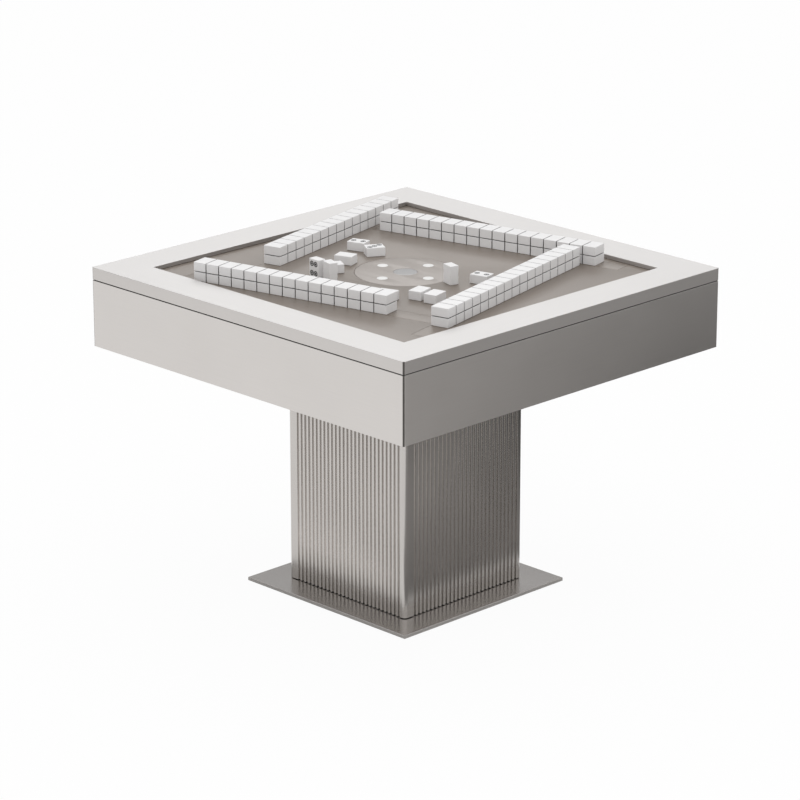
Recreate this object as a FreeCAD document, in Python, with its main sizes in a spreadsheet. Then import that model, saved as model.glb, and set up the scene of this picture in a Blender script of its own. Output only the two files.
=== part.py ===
"""Automatic mahjong table with a square steel top on a fluted column.

Millimetres, +Z up, origin on the floor under the middle of the table. The front is -Y, the right is +X.
"""
import FreeCAD, Part
import math
import os
import re

import Sketcher

# Driving sizes, one cell each
SIZES = {
    # Whole table
    "top_size": 1000,
    "table_height": 755,
    "overrun": 2,
    "seat_gap": 0.3,
    "running_fit": 0.05,
    # Base plate and its pads
    "base_size": 515,
    "base_thickness": 8,
    "base_edge": 0.8,
    "pad_radius": 24,
    "pad_thickness": 2,
    "pad_proud": 1,
    "pad_inset": 48,
    # Column: corner posts, fluted panels, inner post
    "column_size": 379,
    "column_gap": 1.8,
    "corner_width": 13.5,
    "corner_round": 10,
    "panel_thickness": 8,
    "flute_count": 28,
    "flute_width": 6,
    "flute_depth": 5,
    "flute_lip": 0.7,
    "post_size": 96,
    "post_wall": 4,
    "flange_thickness": 8,
    "bolt_radius": 5,
    "bolt_fit": 0.3,
    "bolt_head_radius": 8,
    "bolt_head_height": 6,
    "bolt_margin": 30,
    # Body: pan, aprons, gasket, bearers, posts
    "apron_height": 155.5,
    "apron_thickness": 14,
    "apron_edge": 0.8,
    "corner_chamfer": 3.9,
    "strip_thickness": 0.5,
    "pan_thickness": 3,
    "cable_hole_radius": 16,
    "seam_gap": 2.5,
    "gasket_inset": 2.5,
    "bearer_depth": 12,
    "bearer_lap": 23,
    "frame_post_size": 30,
    # Top: rails, board, cloth
    "rail_width": 98.4,
    "rail_depth": 28,
    "rail_edge": 0.8,
    "lip_depth": 9.2,
    "lip_overlap": 20,
    "well_depth": 10,
    "cloth_thickness": 2,
    # Tiles and their rows
    "tile_length": 45,
    "tile_width": 33,
    "tile_thickness": 22.2,
    "tile_round": 1.5,
    "tile_gap": 1,
    "row_margin": 0.5,
    "row_angle": 13.5,
    "long_row_share": 1.449,
    "short_row_share": 1.28,
    "front_row_start_share": 0.9113,
    "right_row_start_share": 0.8068,
    "back_row_start_share": 0.8516,
    "left_row_start_share": 0.9885,
    # Tile lifts
    "tray_thickness": 8,
    "tray_line_share": 0.7707,
    "tray_back_share": 0.996,
    "tray_end_gap": 9.5,
    "slot_gap": 0.6,
    "lift_travel": 65,
    "lift_clearance": 3,
    "rod_engagement": 28,
    "lift_rod_radius": 8,
    "actuator_wall": 7,
    "lift_motor_radius": 13,
    "lift_motor_height": 62,
    "guide_rod_radius": 5,
    "guide_wall": 4,
    "guide_inset": 107,
    # Console
    "console_radius": 115,
    "console_gap": 0.8,
    "glass_thickness": 4,
    "housing_inset": 4,
    "housing_wall": 3,
    "housing_floor": 4,
    "standoff_height": 4,
    "standoff_radius": 4,
    "console_board_inset": 6,
    "console_board_thickness": 1.6,
    "switch_size": 10,
    "switch_height": 4,
    "button_radius": 12.4,
    "button_gap": 0.3,
    "button_orbit": 73,
    "button_proud": 0.5,
    "button_travel": 2,
    "collar_width": 2.2,
    "collar_thickness": 3.2,
    "plunger_radius": 4,
    "plunger_length": 8,
    "lens_radius": 27.4,
    "lens_gap": 0.2,
    "display_inset": 3,
    # Console lift
    "console_rise": 75,
    "stem_radius": 20,
    "stem_engagement": 25,
    "tube_wall": 10,
    "tube_clearance": 8,
    "tube_flange_radius": 50,
    "tube_flange_thickness": 5,
    "shoulder_width": 8,
    # Shuffling drum
    "disc_clearance": 2,
    "disc_thickness": 5,
    "disc_level": 58,
    "hub_wall": 14,
    "hub_height": 28,
    "paddle_inset": 34,
    "paddle_width": 10,
    "paddle_height": 6,
    "bowl_gap": 5,
    "bowl_wall": 3,
    "bowl_skirt": 8,
    "bowl_clearance": 2,
    "leg_size": 20,
    "port_width": 36,
    "port_height": 58,
    "belt_thickness": 2,
    "belt_width": 7,
    "belt_rise": 6,
    "pulley_radius": 12,
    "pulley_flange": 4,
    "pulley_flange_thickness": 1.5,
    "pulley_distance": 120,
    "drive_shaft_radius": 4,
    "drive_shaft_seat": 14,
    "drive_motor_radius": 22,
    # Tile pickups and chutes
    "wheel_radius": 30,
    "wheel_width": 24,
    "wheel_clearance": 3.5,
    "wheel_rim": 5,
    "wheel_web": 10,
    "wheel_hub_radius": 12,
    "axle_radius": 5,
    "bracket_thickness": 6,
    "bracket_width": 40,
    "bracket_cover": 17,
    "wheel_side_gap": 0.6,
    "pickup_motor_radius": 14,
    "pickup_motor_length": 34,
    "chute_end_gap": 15.4,
    "chute_gap": 1.5,
    "chute_floor": 3,
    "chute_wall": 3,
    "chute_wall_height": 18,
    "chute_leg": 12,
    # Electrics on the pan
    "electrics_inset": 120,
    "control_length": 150,
    "control_width": 100,
    "control_thickness": 2,
    "control_standoff": 6,
    "relay_size": 18,
    "relay_height": 15,
    "heat_sink_length": 60,
    "heat_sink_height": 24,
    "supply_length": 120,
    "supply_width": 80,
    "supply_height": 36,
    "inlet_length": 48,
    "inlet_width": 28,
    "inlet_depth": 24,
    "inlet_rim": 3,
    "inlet_rim_thickness": 2,
    "inlet_socket_length": 25,
    "inlet_socket_width": 16,
    "inlet_socket_depth": 18,
    "inlet_offset": 92,
}
QUARTER = 90
SIDES = ("front", "right", "back", "left")
ROWS = {"front": "short_row_share", "right": "long_row_share", "back": "long_row_share",
        "left": "short_row_share"}
UP = FreeCAD.Vector(0, 0, 1)

# Loose tiles on the cloth: place as shares of half the table's top, heading in degrees, and how each stands
LOOSE_TILE_SHARES = (
    (-0.214, -0.343, -4, "upright"),
    (-0.138, -0.336, -16, "upright"),
    (-0.224, -0.236, -28, "flat"),
    (-0.289, -0.095, -70, "flat"),
    (-0.412, 0.104, -70, "flat"),
    (-0.296, 0.094, -30, "flat"),
    (0.275, 0.013, 165, "upright"),
    (0.366, 0.117, -76, "flat"),
    (0.340, -0.248, 14, "flat"),
    (0.424, -0.238, 14, "flat"),
    (0.260, -0.370, -70, "flat"),
)

doc = FreeCAD.newDocument("mahjong_table")
sheet = doc.addObject("Spreadsheet::Sheet", "Sizes")
for row, (alias, number) in enumerate(SIZES.items(), start=1):
    sheet.set(f"A{row}", alias)
    sheet.set(f"B{row}", str(number))
    sheet.setAlias(f"B{row}", alias)
doc.recompute()

parts = []


def size(alias):
    """A driving size as a number, read from its cell."""
    return float(sheet.get(alias))


def cells(expression):
    """The same expression with every driving size written as its cell."""
    def cell(word):
        return "Sizes." + word[0] if word[0] in SIZES else word[0]
    return re.sub(r"[a-z]+(?:_[a-z]+)*", cell, str(expression))


def bind(thing, **expressions):
    for prop, expression in expressions.items():
        thing.setExpression(prop, cells(expression))


def place(thing, x="0", y="0", z="0"):
    for axis, expression in zip("xyz", (x, y, z)):
        thing.setExpression(f"Placement.Base.{axis}", cells(expression))


def block(name, x, y, z):
    """A box between two expressions along each axis."""
    box = doc.addObject("Part::Box", name)
    bind(box, Length=f"{x[1]} - ({x[0]})", Width=f"{y[1]} - ({y[0]})", Height=f"{z[1]} - ({z[0]})")
    place(box, x[0], y[0], z[0])
    return box


def rod(name, radius, z, x="0", y="0"):
    """An upright cylinder between two levels."""
    cylinder = doc.addObject("Part::Cylinder", name)
    bind(cylinder, Radius=radius, Height=f"{z[1]} - ({z[0]})")
    place(cylinder, x, y, z[0])
    return cylinder


def axle(name, radius, x, y, z):
    """A level cylinder along X, between two expressions."""
    cylinder = doc.addObject("Part::Cylinder", name)
    lying = FreeCAD.Rotation(FreeCAD.Vector(0, 1, 0), QUARTER)
    cylinder.Placement = FreeCAD.Placement(FreeCAD.Vector(), lying)
    bind(cylinder, Radius=radius, Height=f"{x[1]} - ({x[0]})")
    place(cylinder, x[0], y, z)
    return cylinder


def mitred(name, outer, inner, outer_reach, inner_reach, z):
    """A bar along the front side, with one reach at its outer face and another at its inner face."""
    wedge = doc.addObject("Part::Wedge", name)
    bind(wedge, Xmin=f"-({outer_reach})", Xmax=outer_reach, X2min=f"-({inner_reach})", X2max=inner_reach)
    bind(wedge, Ymin=f"-({outer})", Ymax=f"-({inner})")
    bind(wedge, Zmin=z[0], Zmax=z[1], Z2min=z[0], Z2max=z[1])
    return wedge


def fuse(name, *pieces):
    joined = doc.addObject("Part::MultiFuse", name)
    joined.Shapes = list(pieces)
    joined.Refine = True
    return joined


def cut(name, base, *tools):
    result = doc.addObject("Part::Cut", name)
    result.Base = base
    result.Tool = tools[0] if len(tools) == 1 else group(f"{name}_tools", tools)
    result.Refine = True
    return result


def group(name, pieces, angle=0):
    """Separate pieces held together in one object, turned about the table's axis."""
    compound = doc.addObject("Part::Compound", name)
    compound.Links = list(pieces)
    compound.Placement = FreeCAD.Placement(FreeCAD.Vector(), FreeCAD.Rotation(UP, angle))
    return compound


def around(name, make, skew=0):
    """One piece made for each side of the table and turned to it."""
    turned = [group(f"{name}_{side}", [make(f"{name}_{side}")], QUARTER * step + skew)
              for step, side in enumerate(SIDES)]
    return group(name, turned)


def part(node, thing):
    """Names a finished sub-part."""
    thing.Label = node
    parts.append(thing)
    return thing


def edges_where(shape, test):
    """Numbers of the straight edges whose middle point and direction pass a test."""
    found = []
    for number, edge in enumerate(shape.Edges, start=1):
        if edge.Curve.TypeId == "Part::GeomLine" and test(edge.CenterOfMass, edge.Curve.Direction):
            found.append(number)
    return found


def rounded(name, base, radius, test):
    """A piece with the edges that pass a test rounded over."""
    base.recompute(True)
    fillet = doc.addObject("Part::Fillet", name)
    fillet.Base = base
    fillet.Edges = [(number, size(radius), size(radius)) for number in edges_where(base.Shape, test)]
    return fillet


def near(first, second):
    return abs(first - second) < size("seat_gap") / 10


def plane_of(body, role):
    return next(feature for feature in body.Origin.OriginFeatures if feature.Role == role)


def sketch(body, name, level, turn=0):
    """A level sketch at an expression's height, turned about the table's axis."""
    drawing = body.newObject("Sketcher::SketchObject", name)
    drawing.AttachmentSupport = (plane_of(body, "XY_Plane"), [""])
    drawing.MapMode = "FlatFace"
    drawing.AttachmentOffset = FreeCAD.Placement(FreeCAD.Vector(), FreeCAD.Rotation(UP, turn))
    drawing.setExpression("AttachmentOffset.Base.z", cells(level))
    return drawing


def driven(drawing, kind, *target):
    """Adds a constraint whose last value is an expression of driving sizes."""
    index = drawing.addConstraint(Sketcher.Constraint(kind, *target[:-1], 1.0))
    drawing.setExpression(f"Constraints[{index}]", cells(target[-1]))


def rectangle(drawing, x, y):
    """A rectangle between two expressions along each axis."""
    corners = [FreeCAD.Vector(*corner, 0) for corner in ((-1, -1), (1, -1), (1, 1), (-1, 1))]
    sides = [drawing.addGeometry(Part.LineSegment(corners[side], corners[(side + 1) % 4]))
             for side in range(4)]
    for side in range(4):
        drawing.addConstraint(Sketcher.Constraint("Coincident", sides[side], 2, sides[(side + 1) % 4], 1))
        drawing.addConstraint(Sketcher.Constraint("Vertical" if side % 2 else "Horizontal", sides[side]))
    driven(drawing, "DistanceX", -1, 1, sides[0], 1, x[0])
    driven(drawing, "DistanceX", -1, 1, sides[0], 2, x[1])
    driven(drawing, "DistanceY", -1, 1, sides[0], 1, y[0])
    driven(drawing, "DistanceY", -1, 1, sides[2], 1, y[1])


def circle(drawing, radius, x=None, y=None):
    ring = drawing.addGeometry(Part.Circle(FreeCAD.Vector(), UP, 1.0))
    driven(drawing, "Radius", ring, radius)
    if x is None:
        drawing.addConstraint(Sketcher.Constraint("Coincident", ring, 3, -1, 1))
    else:
        driven(drawing, "DistanceX", -1, 1, ring, 3, x)
        driven(drawing, "DistanceY", -1, 1, ring, 3, y)


def pad(body, drawing, length):
    feature = body.newObject("PartDesign::Pad", f"{drawing.Name}_pad")
    feature.Profile = drawing
    bind(feature, Length=length)
    return feature


def pocket(body, drawing, depth=None):
    """Cuts upwards from a sketch, to a depth or right through."""
    feature = body.newObject("PartDesign::Pocket", f"{drawing.Name}_pocket")
    feature.Profile = drawing
    feature.Reversed = True
    if depth is None:
        feature.Type = "ThroughAll"
    else:
        bind(feature, Length=depth)
    return feature


def quarters(body, feature):
    """Repeats a feature on all four sides."""
    pattern = body.newObject("PartDesign::PolarPattern", f"{feature.Name}_quarters")
    pattern.Originals = [feature]
    pattern.Axis = (plane_of(body, "Z_Axis"), [""])
    pattern.Angle = QUARTER * len(SIDES)
    pattern.Occurrences = len(SIDES)
    body.Tip = pattern
    return pattern


# Levels and reaches that several pieces share
HALF = "top_size / 2"
PLATE_TOP = "(pad_proud + base_thickness)"
RAIL_BOTTOM = "(table_height - rail_depth)"
CLOTH_TOP = "(table_height - well_depth)"
BOARD_TOP = "(table_height - well_depth - cloth_thickness)"
APRON_TOP = f"({RAIL_BOTTOM} - seam_gap)"
BODY_BOTTOM = f"({APRON_TOP} - apron_height)"
PAN_TOP = f"({BODY_BOTTOM} + pan_thickness)"
BEARER_BOTTOM = f"({RAIL_BOTTOM} - bearer_depth)"
BODY_INSIDE = "(top_size / 2 - apron_thickness)"
WELL_HALF = "(top_size / 2 - rail_width)"
BOARD_HALF = f"({WELL_HALF} + lip_overlap)"
COLUMN_BOTTOM = f"({PLATE_TOP} + column_gap)"
COLUMN_TOP = f"({BODY_BOTTOM} - column_gap)"
COLUMN_INSIDE = "(column_size / 2 - panel_thickness)"
BOLT_PLACE = "(post_size / 2 + bolt_margin)"

# Base plate: square steel plate with sockets for its pads and tapped holes for the column
plate = doc.addObject("PartDesign::Body", "base_plate_body")
plate_outline = sketch(plate, "plate_outline", "pad_proud")
rectangle(plate_outline, ("-base_size / 2", "base_size / 2"), ("-base_size / 2", "base_size / 2"))
pad(plate, plate_outline, "base_thickness")
PAD_PLACE = "(base_size / 2 - pad_inset)"
socket_outline = sketch(plate, "socket_outline", "pad_proud")
circle(socket_outline, "pad_radius + seat_gap", PAD_PLACE, PAD_PLACE)
quarters(plate, pocket(plate, socket_outline, "pad_thickness - pad_proud"))
plate_hole_outline = sketch(plate, "plate_hole_outline", "pad_proud")
circle(plate_hole_outline, "bolt_radius + bolt_fit", BOLT_PLACE, BOLT_PLACE)
plate_holes = quarters(plate, pocket(plate, plate_hole_outline))
plate_holes.recompute(True)
plate_box = plate_holes.Shape.BoundBox
plate_edge = plate.newObject("PartDesign::Chamfer", "plate_edge")
plate_edge.Base = (plate_holes, [f"Edge{number}" for number in edges_where(
    plate_holes.Shape, lambda middle, along: near(middle.z, plate_box.ZMax))])
bind(plate_edge, Size="base_edge")
part("base_plate", plate)


# Base pads: rubber discs, sunk in the plate and standing a little proud of it
def base_pad(name):
    return rod(f"{name}_disc", "pad_radius", ("0", "pad_thickness"), PAD_PLACE, PAD_PLACE)


part("base_pads", around("base_pads_set", base_pad))


# Column post: square tube welded between two flanges that carry the panels
post_blank = block("post_blank", ("-post_size / 2", "post_size / 2"), ("-post_size / 2", "post_size / 2"),
                   (PLATE_TOP, BODY_BOTTOM))
FLANGE_SPAN = (f"-{COLUMN_INSIDE}", COLUMN_INSIDE)
foot_flange = block("foot_flange", FLANGE_SPAN, FLANGE_SPAN, (PLATE_TOP, f"{PLATE_TOP} + flange_thickness"))
head_flange = block("head_flange", FLANGE_SPAN, FLANGE_SPAN,
                    (f"{BODY_BOTTOM} - flange_thickness", BODY_BOTTOM))
POST_INSIDE = "(post_size / 2 - post_wall)"
POST_SPAN = (f"-{POST_INSIDE}", POST_INSIDE)
THROUGH_COLUMN = (f"{PLATE_TOP} - overrun", f"{BODY_BOTTOM} + overrun")
post_bore = block("post_bore", POST_SPAN, POST_SPAN, THROUGH_COLUMN)
CORNER_INSIDE = "(column_size / 2 - corner_width - seat_gap)"


def flange_corner(name):
    """Room in the flanges for one corner post."""
    reach = (CORNER_INSIDE, "column_size / 2 + overrun")
    return block(f"{name}_room", reach, reach, THROUGH_COLUMN)


def flange_hole(name):
    return rod(f"{name}_hole", "bolt_radius + bolt_fit", THROUGH_COLUMN, BOLT_PLACE, BOLT_PLACE)


post_joined = fuse("post_joined", post_blank, foot_flange, head_flange)
part("column_post", cut("post_weldment", post_joined, post_bore, around("flange_corners", flange_corner),
                        around("flange_holes", flange_hole)))


# Fluted panels: the same ribbed panel on each side of the column
flutes = doc.addObject("PartDesign::Body", "flutes")
PANEL_REACH = "(column_size / 2 - corner_width)"
FLUTE_PITCH = f"({PANEL_REACH} * 2 / flute_count)"
panel_outline = sketch(flutes, "panel_outline", COLUMN_BOTTOM)
rectangle(panel_outline, (f"-{PANEL_REACH}", PANEL_REACH), ("-column_size / 2", f"-{COLUMN_INSIDE}"))
pad(flutes, panel_outline, f"{COLUMN_TOP} - {COLUMN_BOTTOM}")
flute_outline = sketch(flutes, "flute_outline", COLUMN_BOTTOM)
FIRST_FLUTE = f"({FLUTE_PITCH} / 2 - {PANEL_REACH})"
rectangle(flute_outline, (f"{FIRST_FLUTE} - flute_width / 2", f"{FIRST_FLUTE} + flute_width / 2"),
          ("-column_size / 2 - overrun", "-column_size / 2 + flute_depth"))
flute_row = flutes.newObject("PartDesign::LinearPattern", "flute_row")
flute_row.Originals = [pocket(flutes, flute_outline)]
flute_row.Direction = (plane_of(flutes, "X_Axis"), [""])
bind(flute_row, Length=f"{FLUTE_PITCH} * (flute_count - 1)", Occurrences="flute_count")
flutes.Tip = flute_row
flute_row.recompute(True)
panel_box = flute_row.Shape.BoundBox
flute_lips = flutes.newObject("PartDesign::Fillet", "flute_lips")
flute_lips.Base = (flute_row, [f"Edge{number}" for number in edges_where(
    flute_row.Shape, lambda middle, along: abs(along.z) > 0.5 and near(middle.y, panel_box.YMin)
    and not near(abs(middle.x), panel_box.XMax))])
bind(flute_lips, Radius="flute_lip")
for step, side in enumerate(SIDES):
    part(f"fluted_panel_{side}", group(f"flutes_{side}", [flutes], QUARTER * step))


# Corner posts of the column: square bars with a rounded outer edge
def corner_post(name):
    reach = ("column_size / 2 - corner_width", "column_size / 2")
    bar = block(f"{name}_bar", reach, reach, (COLUMN_BOTTOM, COLUMN_TOP))
    outside = size("column_size") / 2
    return rounded(f"{name}_rounded", bar, "corner_round", lambda middle, along: abs(along.z) > 0.5
                   and near(middle.x, outside) and near(middle.y, outside))


part("column_corner_posts", around("corner_posts_set", corner_post))


# Column bolts: four down into the base plate, four up into the pan
def column_bolt_pair(name):
    foot_seat = f"({PLATE_TOP} + flange_thickness)"
    head_seat = f"({BODY_BOTTOM} - flange_thickness)"
    foot = fuse(f"{name}_foot",
                rod(f"{name}_foot_shank", "bolt_radius", ("pad_proud", foot_seat), BOLT_PLACE, BOLT_PLACE),
                rod(f"{name}_foot_head", "bolt_head_radius", (foot_seat, f"{foot_seat} + bolt_head_height"),
                    BOLT_PLACE, BOLT_PLACE))
    head = fuse(f"{name}_head",
                rod(f"{name}_head_shank", "bolt_radius", (head_seat, PAN_TOP), BOLT_PLACE, BOLT_PLACE),
                rod(f"{name}_head_head", "bolt_head_radius", (f"{head_seat} - bolt_head_height", head_seat),
                    BOLT_PLACE, BOLT_PLACE))
    return group(f"{name}_pair", [foot, head])


part("column_bolts", around("column_bolts_set", column_bolt_pair))

# Chassis pan: the floor of the body, bolted to the head of the column
ELECTRICS_PLACE = f"({HALF} - electrics_inset)"
INLET_X = f"(-{ELECTRICS_PLACE})"
INLET_Y = f"({ELECTRICS_PLACE} - inlet_offset)"
THROUGH_PAN = (f"{BODY_BOTTOM} - overrun", f"{PAN_TOP} + overrun")
pan_blank = block("pan_blank", (f"-{BODY_INSIDE}", BODY_INSIDE), (f"-{BODY_INSIDE}", BODY_INSIDE),
                  (BODY_BOTTOM, PAN_TOP))
pan_cable_hole = rod("pan_cable_hole", "cable_hole_radius", THROUGH_PAN)


def spread(middle, length):
    """A span of some length about its middle."""
    return (f"{middle} - {length} / 2", f"{middle} + {length} / 2")


pan_inlet_hole = block("pan_inlet_hole", spread(INLET_X, "(inlet_length + 2 * seat_gap)"),
                       spread(INLET_Y, "(inlet_width + 2 * seat_gap)"), THROUGH_PAN)


def pan_hole(name):
    return rod(f"{name}_hole", "bolt_radius + bolt_fit", THROUGH_PAN, BOLT_PLACE, BOLT_PLACE)


part("chassis_pan", cut("pan_cut", pan_blank, pan_cable_hole, pan_inlet_hole,
                        around("pan_holes", pan_hole)))

# Aprons: steel-faced boards, mitred at the corners, with the sharp edge taken off
CHAMFER_MIDDLE = f"({HALF} - corner_chamfer / 2)"
CHAMFER_FACE = f"({HALF} - corner_chamfer)"


def apron(name):
    levels = (BODY_BOTTOM, APRON_TOP)
    face = mitred(f"{name}_face", HALF, CHAMFER_MIDDLE, CHAMFER_FACE, CHAMFER_MIDDLE, levels)
    back = mitred(f"{name}_back", CHAMFER_MIDDLE, BODY_INSIDE, CHAMFER_MIDDLE, BODY_INSIDE, levels)
    board = fuse(f"{name}_board", face, back)
    return rounded(f"{name}_rounded", board, "apron_edge", lambda middle, along: abs(along.x) > 0.9
                   and near(middle.y, board.Shape.BoundBox.YMin))


for step, side in enumerate(SIDES):
    part(f"apron_{side}", group(f"apron_{side}_turned", [apron(f"apron_{side}")], QUARTER * step))


# Corner strips: dark metal strips laid on the chamfered corners of the body and of the rails
def corner_strip_pair(name):
    width = "(corner_chamfer * sqrt(2) - 2 * strip_thickness)"
    pair = []
    for kind, z in (("apron", (BODY_BOTTOM, APRON_TOP)), ("rail", (RAIL_BOTTOM, "table_height"))):
        strip = doc.addObject("Part::Box", f"{name}_{kind}_strip")
        strip.Placement = FreeCAD.Placement(FreeCAD.Vector(), FreeCAD.Rotation(UP, -QUARTER / 2))
        bind(strip, Length="strip_thickness", Width=width, Height=f"{z[1]} - ({z[0]})")
        lean = f"{width} / sqrt(8)"
        place(strip, f"{CHAMFER_MIDDLE} - {lean}", f"-{CHAMFER_MIDDLE} - {lean}", z[0])
        pair.append(strip)
    return group(f"{name}_pair", pair)


part("corner_strips", around("corner_strips_set", corner_strip_pair))


# Seam gasket: dark strips, set back, between the aprons and the rails
def gasket(name):
    outer = f"({HALF} - gasket_inset)"
    return mitred(f"{name}_strip", outer, BODY_INSIDE, outer, BODY_INSIDE, (APRON_TOP, RAIL_BOTTOM))


part("seam_gasket", around("seam_gasket_set", gasket))


# Board bearers: strips along the aprons that carry the rails and the playing board
def bearer(name):
    inner = f"({BOARD_HALF} - bearer_lap)"
    return mitred(f"{name}_strip", BODY_INSIDE, inner, BODY_INSIDE, inner, (BEARER_BOTTOM, RAIL_BOTTOM))


part("board_bearers", around("board_bearers_set", bearer))


# Frame posts: square bars in the corners of the body, from the pan to the bearers
def frame_post(name):
    reach = (f"{BODY_INSIDE} - frame_post_size", BODY_INSIDE)
    return block(f"{name}_bar", reach, reach, (PAN_TOP, BEARER_BOTTOM))


part("frame_posts", around("frame_posts_set", frame_post))


# Rails: the wide steel border of the top, with a lip over the edge of the cloth
def rail(name):
    levels = (RAIL_BOTTOM, "table_height")
    step_back = f"({BOARD_HALF} + seat_gap)"
    face = mitred(f"{name}_face", HALF, CHAMFER_MIDDLE, CHAMFER_FACE, CHAMFER_MIDDLE, levels)
    core = mitred(f"{name}_core", CHAMFER_MIDDLE, step_back, CHAMFER_MIDDLE, step_back, levels)
    lip = mitred(f"{name}_lip", step_back, WELL_HALF, step_back, WELL_HALF,
                 ("table_height - lip_depth", "table_height"))
    border = fuse(f"{name}_border", face, core, lip)

    def top_edge(middle, along):
        box = border.Shape.BoundBox
        level = abs(along.x) > 0.9 and near(middle.z, box.ZMax)
        return level and (near(middle.y, box.YMin) or near(middle.y, box.YMax))
    return rounded(f"{name}_rounded", border, "rail_edge", top_edge)


for step, side in enumerate(SIDES):
    part(f"rail_{side}", group(f"rail_{side}_turned", [rail(f"rail_{side}")], QUARTER * step))

# Playing board and its cloth, both with the console's hole and the four slanted slots of the tile lifts
TRAY_OUTER = f"({WELL_HALF} * tray_line_share)"
ROW_LINE = f"({TRAY_OUTER} - row_margin - tile_length / 2)"
TRAY_INNER = f"({ROW_LINE} - tile_length / 2 - row_margin)"
TRAY_BACK = f"({WELL_HALF} * tray_back_share)"
TRAY_FRONT = f"({TRAY_INNER} - tray_end_gap)"


def slotted_sheet(name, bottom, thickness):
    body = doc.addObject("PartDesign::Body", f"{name}_body")
    outline = sketch(body, f"{name}_outline", bottom)
    rectangle(outline, (f"-{BOARD_HALF}", BOARD_HALF), (f"-{BOARD_HALF}", BOARD_HALF))
    pad(body, outline, thickness)
    hole = sketch(body, f"{name}_hole", bottom)
    circle(hole, "console_radius + console_gap")
    pocket(body, hole)
    slot = sketch(body, f"{name}_slot", bottom, size("row_angle"))
    rectangle(slot, (f"-{TRAY_BACK} - slot_gap", f"{TRAY_FRONT} + slot_gap"),
              (f"-{TRAY_OUTER} - slot_gap", f"-{TRAY_INNER} + slot_gap"))
    quarters(body, pocket(body, slot))
    return body


part("play_board", slotted_sheet("board", RAIL_BOTTOM, f"{BOARD_TOP} - {RAIL_BOTTOM}"))
part("play_cloth", slotted_sheet("cloth", BOARD_TOP, "cloth_thickness"))

# Tile lifts: each tray stands on a driven rod and two guide rods that slide down into the body
TRAY_BOTTOM = f"({CLOTH_TOP} - tray_thickness)"
SLEEVE_TOP = f"({TRAY_BOTTOM} - lift_travel - lift_clearance)"
ROD_BOTTOM = f"({SLEEVE_TOP} - rod_engagement)"
TRAY_MIDDLE = f"(({TRAY_FRONT} - {TRAY_BACK}) / 2)"
GUIDE_PLACES = {"back": f"(guide_inset - {TRAY_BACK})", "front": f"({TRAY_FRONT} - guide_inset)"}
SKEW = size("row_angle")


def lift_tray(name):
    plank = block(f"{name}_plank", (f"-{TRAY_BACK}", TRAY_FRONT), (f"-{TRAY_OUTER}", f"-{TRAY_INNER}"),
                  (TRAY_BOTTOM, CLOTH_TOP))
    levels = (ROD_BOTTOM, TRAY_BOTTOM)
    rods = [rod(f"{name}_drive_rod", "lift_rod_radius", levels, TRAY_MIDDLE, f"-{ROW_LINE}")]
    for end, along in GUIDE_PLACES.items():
        rods.append(rod(f"{name}_{end}_rod", "guide_rod_radius", levels, along, f"-{ROW_LINE}"))
    return fuse(f"{name}_joined", plank, *rods)


for step, side in enumerate(SIDES):
    angle = QUARTER * step + SKEW
    part(f"lift_tray_{side}", group(f"lift_tray_{side}_turned", [lift_tray(f"lift_tray_{side}")], angle))


def lift_actuator(name):
    levels = (PAN_TOP, SLEEVE_TOP)
    tube = rod(f"{name}_tube", "lift_rod_radius + actuator_wall", levels, TRAY_MIDDLE, f"-{ROW_LINE}")
    motor = rod(f"{name}_motor", "lift_motor_radius", (PAN_TOP, f"{PAN_TOP} + lift_motor_height"),
                TRAY_MIDDLE, f"-{ROW_LINE} - lift_rod_radius - actuator_wall - lift_motor_radius / 2")
    bore = rod(f"{name}_bore", "lift_rod_radius + running_fit",
               (f"{PAN_TOP} - overrun", f"{SLEEVE_TOP} + overrun"), TRAY_MIDDLE, f"-{ROW_LINE}")
    return cut(f"{name}_bored", fuse(f"{name}_joined", tube, motor), bore)


part("lift_actuators", around("lift_actuators_set", lift_actuator, SKEW))


def lift_guide_pair(name):
    pair = []
    for end, along in GUIDE_PLACES.items():
        sleeve = rod(f"{name}_{end}_sleeve", "guide_rod_radius + guide_wall", (PAN_TOP, SLEEVE_TOP),
                     along, f"-{ROW_LINE}")
        bore = rod(f"{name}_{end}_bore", "guide_rod_radius + running_fit",
                   (f"{PAN_TOP} - overrun", f"{SLEEVE_TOP} + overrun"), along, f"-{ROW_LINE}")
        pair.append(cut(f"{name}_{end}_bored", sleeve, bore))
    return group(f"{name}_pair", pair)


part("lift_guides", around("lift_guides_set", lift_guide_pair, SKEW))

# Tiles: rounded blocks, two high in slanted rows on the trays, and a few loose on the cloth
tile = doc.addObject("PartDesign::Body", "tile_pattern")
tile_outline = sketch(tile, "tile_outline", "-tile_thickness / 2")
rectangle(tile_outline, ("-tile_width / 2", "tile_width / 2"), ("-tile_length / 2", "tile_length / 2"))
tile_block = pad(tile, tile_outline, "tile_thickness")
tile_block.recompute(True)
tile_soft = tile.newObject("PartDesign::Fillet", "tile_soft")
tile_soft.Base = (tile_block, [f"Edge{number}" for number in range(1, len(tile_block.Shape.Edges) + 1)])
bind(tile_soft, Radius="tile_round")
tile.recompute(True)
cloth_level = size("table_height") - size("well_depth")
well_half = size("top_size") / 2 - size("rail_width")
row_line = well_half * size("tray_line_share") - size("row_margin") - size("tile_length") / 2


def tile_copy(placement):
    copy = tile.Shape.copy()
    copy.Placement = placement
    return copy


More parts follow.
